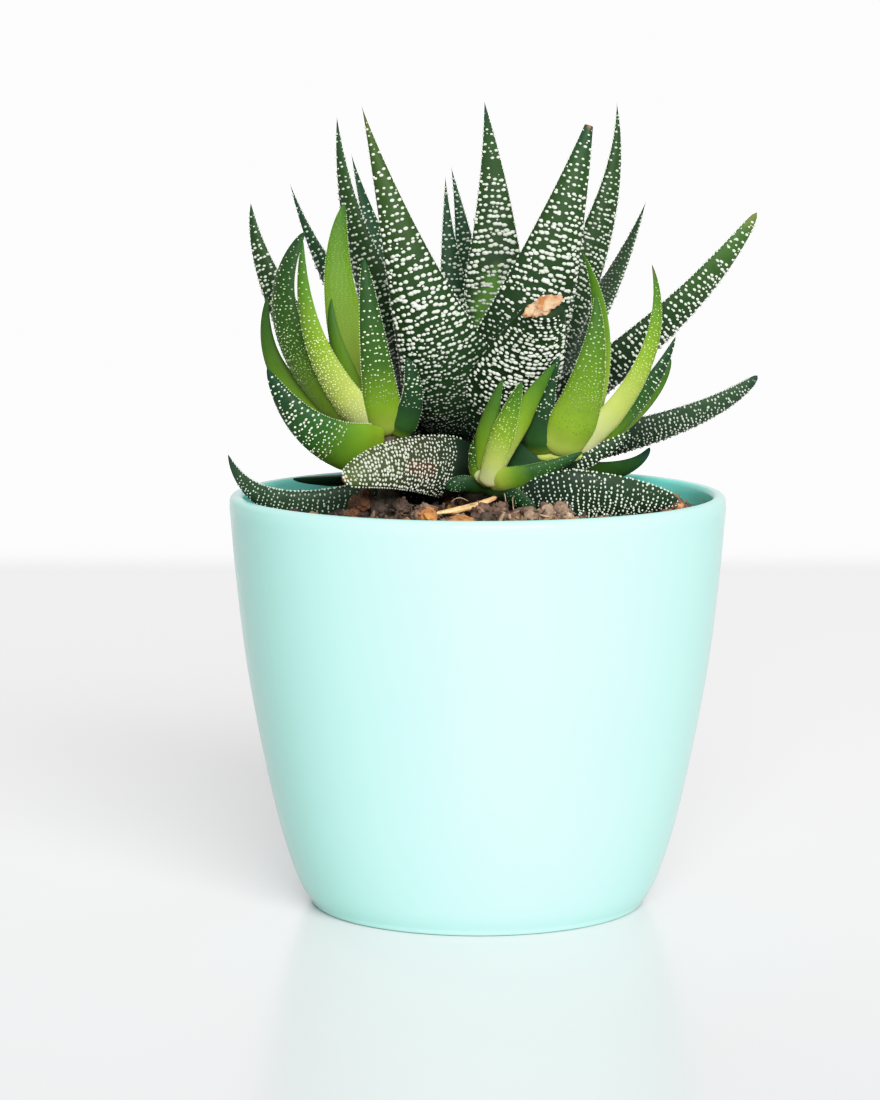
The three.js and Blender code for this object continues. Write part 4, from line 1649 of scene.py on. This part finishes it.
@dataclass
class Clods:
    """Larger clods of peat and bark fines, most of them where the offsets root.

    Pairs are the least and the most drawn. Placed clods are places, sizes and screen colours.
    """

    soil: Soil
    crumbs: Crumbs
    seed: int = 78
    count: int = 120
    fineness: int = 3
    crust: int = 18
    front_share: int = 3
    front_x: Pair = (-27.0, 27.0)
    front_y: Pair = (-31.0, -13.0)
    reach: float = 34.0
    limit: float = 35.0
    bare_left: float = -15.0
    bare_front: float = -14.0
    sizes: Pair = (0.7, 1.6)
    lift: float = 0.35
    halves: Pair = (0.65, 1.05)
    leans: Pair = (-40.0, 40.0)
    rough: float = 0.35
    cell: float = 0.8
    crust_reach: Pair = (0.7, 1.0)
    crust_sizes: Pair = (0.14, 0.36)
    crust_share: float = 0.6
    tones: tuple[Colour, ...] = palette(
        (102, 80, 64), (80, 62, 49), (120, 90, 62), (56, 44, 35), (128, 104, 84))
    crust_tones: tuple[Colour, ...] = palette(
        (44, 34, 27), (78, 60, 47), (118, 92, 70), (28, 22, 18), (160, 130, 102))
    placed: tuple[tuple[Point, float, Screen], ...] = (
        # the first two clods lie in the shade behind the low front leaf and are painted darker, partly as
        # painted shade
        ((-19.0, -17.5, 71.6), 1.9, (78, 48, 30)),
        ((-16.5, -18.5, 70.2), 1.6, (42, 32, 24)),
        ((-13.0, -17.5, 70.6), 1.6, (60, 46, 36)),
        ((0.5, -21.5, 69.6), 1.9, (92, 70, 56)),
        ((3.5, -20.5, 70.2), 1.6, (76, 58, 46)),
        ((8.5, -24.0, 69.8), 1.9, (112, 92, 76)),
        ((11.0, -24.5, 70.2), 1.8, (132, 111, 92)),
        ((13.2, -24.0, 70.6), 1.5, (120, 99, 82)),
        ((14.6, -24.4, 70.0), 1.2, (150, 129, 108)),
        ((6.0, -24.5, 69.4), 1.3, (80, 60, 46)),
        ((-8.4, -27.5, 69.9), 1.7, (150, 96, 50)),
        ((33.5, -12.0, 70.0), 1.2, (170, 112, 78)),
    )

    def build(self, earth: Material) -> None:
        """Heaps the drawn clods and then the placed ones.

        Args:
            earth: the mix's finish.
        """
        piece = Piece("soil_clods", "soil")
        draw = random.Random(self.seed)
        for k in range(self.count):
            if k % self.front_share:
                x, y = draw.uniform(*self.front_x), draw.uniform(*self.front_y)
            else:
                out, turn = self.reach * math.sqrt(draw.random()), draw.uniform(0, 2 * math.pi)
                x, y = out * math.cos(turn), out * math.sin(turn)
            if math.hypot(x, y) > self.limit or (x < self.bare_left and y < self.bare_front):
                continue
            size = draw.uniform(*self.sizes)
            at = (x, y, self.soil.height(x, y) + self.lift * size)
            self.add_clod(piece, draw, at, size, draw.choice(self.tones))
        for at, size, tone in self.placed:
            self.add_clod(piece, draw, at, size, srgb(*tone))
        piece.finish(earth, flat=True)

    def add_clod(self, piece: Piece, draw: random.Random, at: Point, size: float, tone: Colour) -> None:
        """Adds one clod: a rough core under a crust of crumbs.

        Args:
            piece: the piece that it joins.
            draw: the random draws.
            at: its place in millimetres.
            size: its half size in millimetres.
            tone: its colour.
        """
        part = piece.chunk()
        half = tuple(size * draw.uniform(*self.halves) for _ in range(3))
        core = Lump(at, half, draw.uniform(*self.leans), self.rough, self.cell * size, tone)
        core.add_to(part, self.fineness)
        for _ in range(self.crust):
            out = Vector([draw.gauss(0, 1) for _ in range(3)]).normalized()
            spot = Vector(at) + out * size * draw.uniform(*self.crust_reach)
            crumb_tone = mix(tone, draw.choice(self.crust_tones), self.crust_share)
            crumb_size = size * draw.uniform(*self.crust_sizes)
            self.crumbs.add_crumb(part, draw, tuple(spot), crumb_size, crumb_tone)
        piece.absorb(part)


@dataclass
class RootFibres:
    """Thin pale root fibres over the front of the soil: each one's start, middle and end."""

    fibres: tuple[tuple[Point, Point, Point], ...] = (
        ((-1.5, -23.0, 71.6), (0.2, -24.5, 72.0), (1.8, -26.0, 69.0)),
        ((4.0, -19.0, 73.6), (4.8, -20.5, 72.0), (4.2, -22.0, 69.4)),
        ((6.0, -19.0, 73.8), (5.2, -21.0, 72.0), (6.0, -23.0, 69.4)),
        ((-4.5, -19.5, 71.6), (-3.5, -20.5, 73.0), (-1.8, -20.0, 71.8)),
    )
    radius: float = 0.08
    sides: int = 6
    steps: int = 8
    tone: Colour = srgb(150, 126, 100)

    def build(self, root: Material) -> None:
        """Extrudes a small ring along every fibre.

        Args:
            root: the fibres' finish.
        """
        piece = Piece("root_fibres", "soil")
        for start, middle, end in self.fibres:
            curve = [
                Vector(start) * (1 - t) ** 2 + Vector(middle) * 2 * t * (1 - t) + Vector(end) * t * t
                for t in (k / self.steps for k in range(self.steps + 1))
            ]
            ring = bmesh.ops.create_circle(
                piece.shape, segments=self.sides, radius=self.radius * MM, cap_ends=True,
                matrix=self.facing(curve[0], curve[1]),
            )["verts"]
            face = ring[0].link_faces[0]
            for here, there in zip(curve, curve[1:]):
                face = bmesh.ops.extrude_discrete_faces(piece.shape, faces=[face])["faces"][0]
                bmesh.ops.translate(piece.shape, vec=(there - here) * MM, verts=face.verts)
        piece.paint(list(piece.shape.verts), self.tone)
        piece.finish(root)

    @staticmethod
    def facing(start: Vector, end: Vector) -> Matrix:
        """The placement of a ring at start that looks towards end."""
        turn = (end - start).to_track_quat("Z", "Y").to_matrix().to_4x4()
        return Matrix.Translation(start * MM) @ turn


@dataclass(frozen=True)
class Flake:
    """A flake of bark on the soil, which stands for one CAD node."""

    node: str
    at: Pair
    turn: float
    size: Three
    tone: Colour
    bend: float = 0.0
    tilt: float = 0.0


@dataclass
class BarkLitter:
    """The loose flakes and the long splinter."""

    soil: Soil
    rest_gap: float = 0.4
    fineness: int = 4
    squareness: float = 0.72
    rough: float = 0.42
    seed: int = 5
    most_shift: float = 50.0
    grain: Three = (0.45, 1.9, 1.9)
    fading: float = 0.75
    narrowing: float = 2.1
    octaves: int = 4
    fray: float = 0.6
    fray_grain: float = 2.2
    shading: float = 0.6
    darkest: float = 0.3
    flakes: tuple[Flake, ...] = (
        Flake("bark_chip_1", (-9, -13.5), 20, (3.6, 2.2, 1.2), srgb(96, 66, 44)),
        # chip 2 lies in the shade behind the low front leaf and is painted darker, partly as painted shade
        Flake("bark_chip_2", (-20.5, -18), 55, (3, 2, 1.4), srgb(96, 60, 38)),
        Flake("bark_chip_3", (-21, -10.5), 130, (3.2, 2.4, 2.6), srgb(78, 52, 36)),
        Flake("bark_chip_4", (7, -21.5), 10, (3.4, 2.4, 1.8), srgb(86, 68, 56)),
        Flake("bark_chip_5", (11.5, -25.5), 60, (3, 2, 1.4), srgb(104, 78, 58)),
        Flake("bark_chip_6", (-3, -27), 150, (4, 2.4, 1.2), srgb(150, 100, 56)),
        Flake("bark_chip_7", (-19, 23), 40, (4.4, 3, 1.6), srgb(140, 90, 56)),
        Flake("bark_chip_8", (9, 31), 100, (4, 2.6, 1.5), srgb(110, 74, 50)),
        Flake("bark_chip_9", (33, 4), 15, (3.6, 2.4, 1.4), srgb(150, 96, 58)),
        Flake("splinter", (-2, -19.5), 24, (11.5, 1.5, 0.9), srgb(214, 164, 112), 0.5, 11.0),
    )

    def build(self, bark: Material) -> None:
        """Makes every flake.

        Args:
            bark: the bark's finish.
        """
        draw = random.Random(self.seed)
        for flake in self.flakes:
            self.build_flake(flake, bark, draw.uniform(0, self.most_shift))

    def build_flake(self, flake: Flake, bark: Material, shift: float) -> None:
        """Squares off a ball to one flake's size and roughens it along its grain.

        Args:
            flake: the flake.
            bark: the bark's finish.
            shift: where in the noise the flake lies, so that no two are alike.
        """
        slot = "dry_bark" if flake.node == "splinter" else "bark"
        piece = Piece(f"{flake.node}_flake", slot, (flake.node,))
        length, width, height = flake.size
        bm = piece.shape
        bmesh.ops.create_icosphere(bm, subdivisions=self.fineness, radius=1.0)
        along, across, up = self.grain
        fray = self.fray_grain
        for vert in bm.verts:
            share = vert.co.x
            x, y, z = (math.copysign(abs(value) ** self.squareness, value) / 2 for value in vert.co)
            vert.co = (x * length, y * width, z * height + flake.bend * share * share)
            grain = Vector((vert.co.x * along + shift, vert.co.y * across, vert.co.z * up))
            swell = noise.fractal(grain, self.fading, self.narrowing, self.octaves)
            vert.co += vert.co.normalized() * self.rough * min(1.0, height) * swell
            frayed = noise.noise(Vector((shift, vert.co.y * fray, vert.co.z * fray)))
            vert.co.x += self.fray * frayed * share
            # painted shade and light: the tone darkens in the dents and lightens on the bumps of the same
            # noise
            light = max(self.darkest, 1.0 + self.shading * swell)
            vert[piece.tone] = (*(channel * light for channel in flake.tone), 1.0)
        tilt = math.radians(flake.tilt)
        turned = Matrix.Rotation(math.radians(flake.turn), 3, "Z") @ Matrix.Rotation(-tilt, 3, "Y")
        bmesh.ops.rotate(bm, cent=(0, 0, 0), matrix=turned, verts=bm.verts)
        rest = self.soil_top(flake) + self.rest_gap + height / 2 + length / 2 * math.sin(tilt)
        bmesh.ops.translate(bm, vec=(*flake.at, rest), verts=bm.verts)
        bmesh.ops.scale(bm, vec=(MM, MM, MM), verts=bm.verts)
        piece.finish(bark)

    def soil_top(self, flake: Flake) -> float:
        """The highest soil under a flake.

        Args:
            flake: the flake.

        Returns:
            The height in millimetres.
        """
        turn = math.radians(flake.turn)
        along = Vector((math.cos(turn), math.sin(turn))) * flake.size[0] / 2
        spots = (Vector(flake.at) + k * along for k in (-1, 0, 1))
        return max(self.soil.height(spot.x, spot.y) for spot in spots)


@dataclass(frozen=True)
class Lamp:
    """A soft light: its place, its width and height in metres, its power in watts and its gloss."""

    name: str
    at: Point
    size: Pair
    power: float
    mirrored: bool = True


@dataclass
class Studio:
    """The pale table, the bright surroundings, the soft lights and the camera.

    Places and lengths are in metres, but the focal length and the frame's height are in pixels of
    the photograph, and the sensor's size is in millimetres. A film pair is a light and how it shows.
    """

    table_edge: float = 0.487
    # painted shade: the table is darker near the front to even out the key light, which falls brighter there
    table_near_shaded: Colour = srgb(202, 202, 205)
    table_far: Colour = srgb(226, 226, 226)
    near_shade_from: float = -0.2
    near_shade_to: float = 0.1
    table_half: Pair = (1.6, 1.2)
    table_past: float = 0.02
    table_drop: float = 0.00005
    fade_before: float = 0.06
    fade_past: float = 0.002
    camera_at: Point = (-0.00645, -0.618, 0.140)
    camera_pitch: float = 7.28
    camera_clip: Pair = (0.05, 20.0)
    focal: float = 3628.0
    frame_height: float = 1100.0
    sensor: float = 36.0
    lamps: tuple[Lamp, ...] = (
        Lamp("key", (0.48, -2.2, 1.17), (2.0, 1.0), 168.0),
        Lamp("top", (0.0, 0.4, 1.1), (1.6, 1.2), 5.0),
        Lamp("back", (-0.6, 2.2, 1.3), (2.0, 1.2), 18.0, mirrored=False),
    )
    lamp_aim: Point = (0.0, 0.0, 0.08)
    ambient: float = 0.07
    mirrored: float = 1.2
    white: float = 1.45
    film_white: float = 2.0
    film_channel: int = 3
    film: tuple[Pair, ...] = (
        (0.1, 0.1), (0.3, 0.3), (0.5, 0.49), (0.66, 0.62), (0.9, 0.79), (1.2, 0.925), (1.34, 0.965))

    def build(self) -> None:
        """Sets everything round the object."""
        self.build_camera()
        self.build_table()
        self.build_world()
        for lamp in self.lamps:
            self.add_lamp(lamp)
        self.set_film()

    def set_film(self) -> None:
        """Rolls the highlights off softly, as the camera's film curve did."""
        view = bpy.context.scene.view_settings
        view.view_transform = "Standard"
        view.use_curve_mapping = True
        curve = view.curve_mapping
        curve.white_level = (self.film_white, self.film_white, self.film_white)
        for light, shown in self.film:
            curve.curves[self.film_channel].points.new(light / self.film_white, shown)
        curve.update()

    def build_camera(self) -> None:
        """Places the camera where the photograph was taken from."""
        data = bpy.data.cameras.new("camera")
        data.sensor_width = self.sensor
        data.lens = self.focal / self.frame_height * self.sensor
        data.clip_start, data.clip_end = self.camera_clip
        camera = add_object("camera", data)
        camera.location = self.camera_at
        camera.rotation_euler = (math.radians(90 - self.camera_pitch), 0, 0)
        bpy.context.scene.camera = camera

    def build_table(self) -> None:
        """Lays the table top on the ground, with its far edge behind the object."""
        half_width, half_depth = self.table_half
        middle = self.table_edge + self.table_past - half_depth
        shape = bmesh.new()
        bmesh.ops.create_grid(shape, x_segments=2, y_segments=2, size=1.0)
        bmesh.ops.scale(shape, vec=(half_width, half_depth, 1.0), verts=shape.verts)
        bmesh.ops.translate(shape, vec=(0.0, middle, -self.table_drop), verts=shape.verts)
        mesh = bpy.data.meshes.new("table_top")
        shape.to_mesh(mesh)
        shape.free()
        mesh.materials.append(self.table_paint())
        add_object("table_top", mesh)

    def table_paint(self) -> Material:
        """Makes the pale, slightly glossy paint that fades into white at the far edge. It is darker towards
        the front, as painted shade that evens out the key light falling brighter there.

        Returns:
            The material.
        """
        bench = NodeBench("table_top")
        bench.set(Roughness=0.2, IOR=1.45)
        split = bench.add("SeparateXYZ")
        bench.join(bench.object_place(), split.inputs["Vector"])
        back = split.outputs["Y"]
        # painted shade towards the front, against the key light's brighter fall there
        depth = bench.ramp(back, self.near_shade_from, self.near_shade_to, 0.0, 1.0)
        bench.feed(bench.blend("MIX", depth, self.table_near_shaded, self.table_far), "Base Color")
        start, end = self.table_edge - self.fade_before, self.table_edge + self.fade_past
        fade = bench.ramp(back, start, end, 0.0, 1.0, interpolation_type="SMOOTHSTEP")
        glow = bench.add("Emission", Strength=self.white)
        blend = bench.add("MixShader")
        surfaces = (fade, bench.shader.outputs["BSDF"], glow.outputs["Emission"])
        for source, target in zip(surfaces, blend.inputs):
            bench.join(source, target)
        bench.join(blend.outputs["Shader"], bench.tree.nodes["Material Output"].inputs["Surface"])
        return bench.material

    def build_world(self) -> None:
        """Surrounds the scene with white that shows bright and lights softly."""
        world = bpy.data.worlds.new("white_room")
        world.use_nodes = True
        tree = world.node_tree
        shown = tree.nodes["Background"]
        lighting, mirrored = (tree.nodes.new("ShaderNodeBackground") for _ in range(2))
        for background, strength in (
            (shown, self.white), (lighting, self.ambient), (mirrored, self.mirrored),
        ):
            background.inputs["Color"].default_value = (1.0, 1.0, 1.0, 1.0)
            background.inputs["Strength"].default_value = strength
        ray = tree.nodes.new("ShaderNodeLightPath")
        result = lighting.outputs["Background"]
        for background, kind in ((mirrored, "Is Glossy Ray"), (shown, "Is Camera Ray")):
            choice = tree.nodes.new("ShaderNodeMixShader")
            tree.links.new(ray.outputs[kind], choice.inputs[0])
            tree.links.new(result, choice.inputs[1])
            tree.links.new(background.outputs["Background"], choice.inputs[2])
            result = choice.outputs["Shader"]
        tree.links.new(result, tree.nodes["World Output"].inputs["Surface"])
        bpy.context.scene.world = world

    def add_lamp(self, lamp: Lamp) -> None:
        """Adds one soft light that looks at the plant.

        Args:
            lamp: the light.
        """
        data = bpy.data.lights.new(lamp.name, "AREA")
        data.shape = "RECTANGLE"
        data.size, data.size_y = lamp.size
        data.energy = lamp.power
        light = add_object(lamp.name, data)
        light.location = lamp.at
        light.visible_glossy = lamp.mirrored
        aim = Vector(self.lamp_aim) - Vector(lamp.at)
        light.rotation_euler = aim.to_track_quat("-Z", "Y").to_euler()


@dataclass
class Callus:
    """The corky tissue that closed the wound at the end of the scarred front leaf."""

    body: Lump = Lump((10.2, -30.6, 104.8), (3.1, 1.1, 1.35), lean=24.0, rough=0.34, cell=1.0)
    fineness: int = 5

    def build(self, cork: Material) -> None:
        """Makes the callus over the leaf's cut end.

        Args:
            cork: the callus's finish.
        """
        piece = Piece("main_front_scarred_callus", "old_leaf", ("main_rosette",))
        self.body.add_to(piece, self.fineness)
        piece.finish(cork)


def main() -> None:
    """Builds the whole model."""
    logging.basicConfig(level=logging.INFO, format="%(name)s %(message)s")
    Studio().build()
    # the inner wall's darker, deeper teal is painted shade and painted light bounced between the teal walls
    inner_shade_tones = palette((92, 188, 174), (100, 196, 182))
    glaze = GlazeFinish().material()
    inner_glaze = GlazeFinish("inner_glaze", *inner_shade_tones, speck_places=()).material()
    white = TubercleFinish().material()
    old_skin = LeafFinish("old_leaf_skin").material()
    pup_skin = LeafFinish("young_leaf_skin", roughness=0.48, glow=0.25, mottle=0.12, depth=0.36).material()
    earth = GrainFinish("peat", fibre=240.0, grain=1400.0).material()
    bark = GrainFinish("bark", fibre=300.0, grain=1800.0, depth=0.0002).material()
    husk = GrainFinish("dry_husk", fibre=500.0, grain=2400.0, roughness=0.7, depth=0.0001).material()

    GlazedPot().build(glaze, inner_glaze)
    soil = Soil()
    crumbs = Crumbs(soil)
    soil.build(earth)
    crumbs.build(earth)
    Clods(soil, crumbs).build(earth)
    RootFibres().build(husk)
    BarkLitter(soil).build(bark)
    Callus().build(CallusFinish().material())
    old = LeafBuilder(old_skin, white)
    young = LeafBuilder(pup_skin, white, rows=44, around=24)
    main_leaves = (*MAIN_LEAVES, *BackFan().leaves(MAIN_CROWN))
    for name, node, slot, crown, leaves, builder, heel in (
        ("main", "main_rosette", "old_leaf", MAIN_CROWN, main_leaves, old, None),
        ("left", "left_offset", "offset_leaf", LEFT_CROWN, LEFT_LEAVES, young, None),
        ("right", "right_offset", "offset_leaf", RIGHT_CROWN, RIGHT_LEAVES, young, RIGHT_HEEL),
        ("front", "front_offset", "young_leaf", FRONT_CROWN, FRONT_LEAVES, young, FRONT_HEEL),
    ):
        Rosette(name, node, slot, crown, leaves, builder, husk, heel).build()


if __name__ == "__main__":
    main()
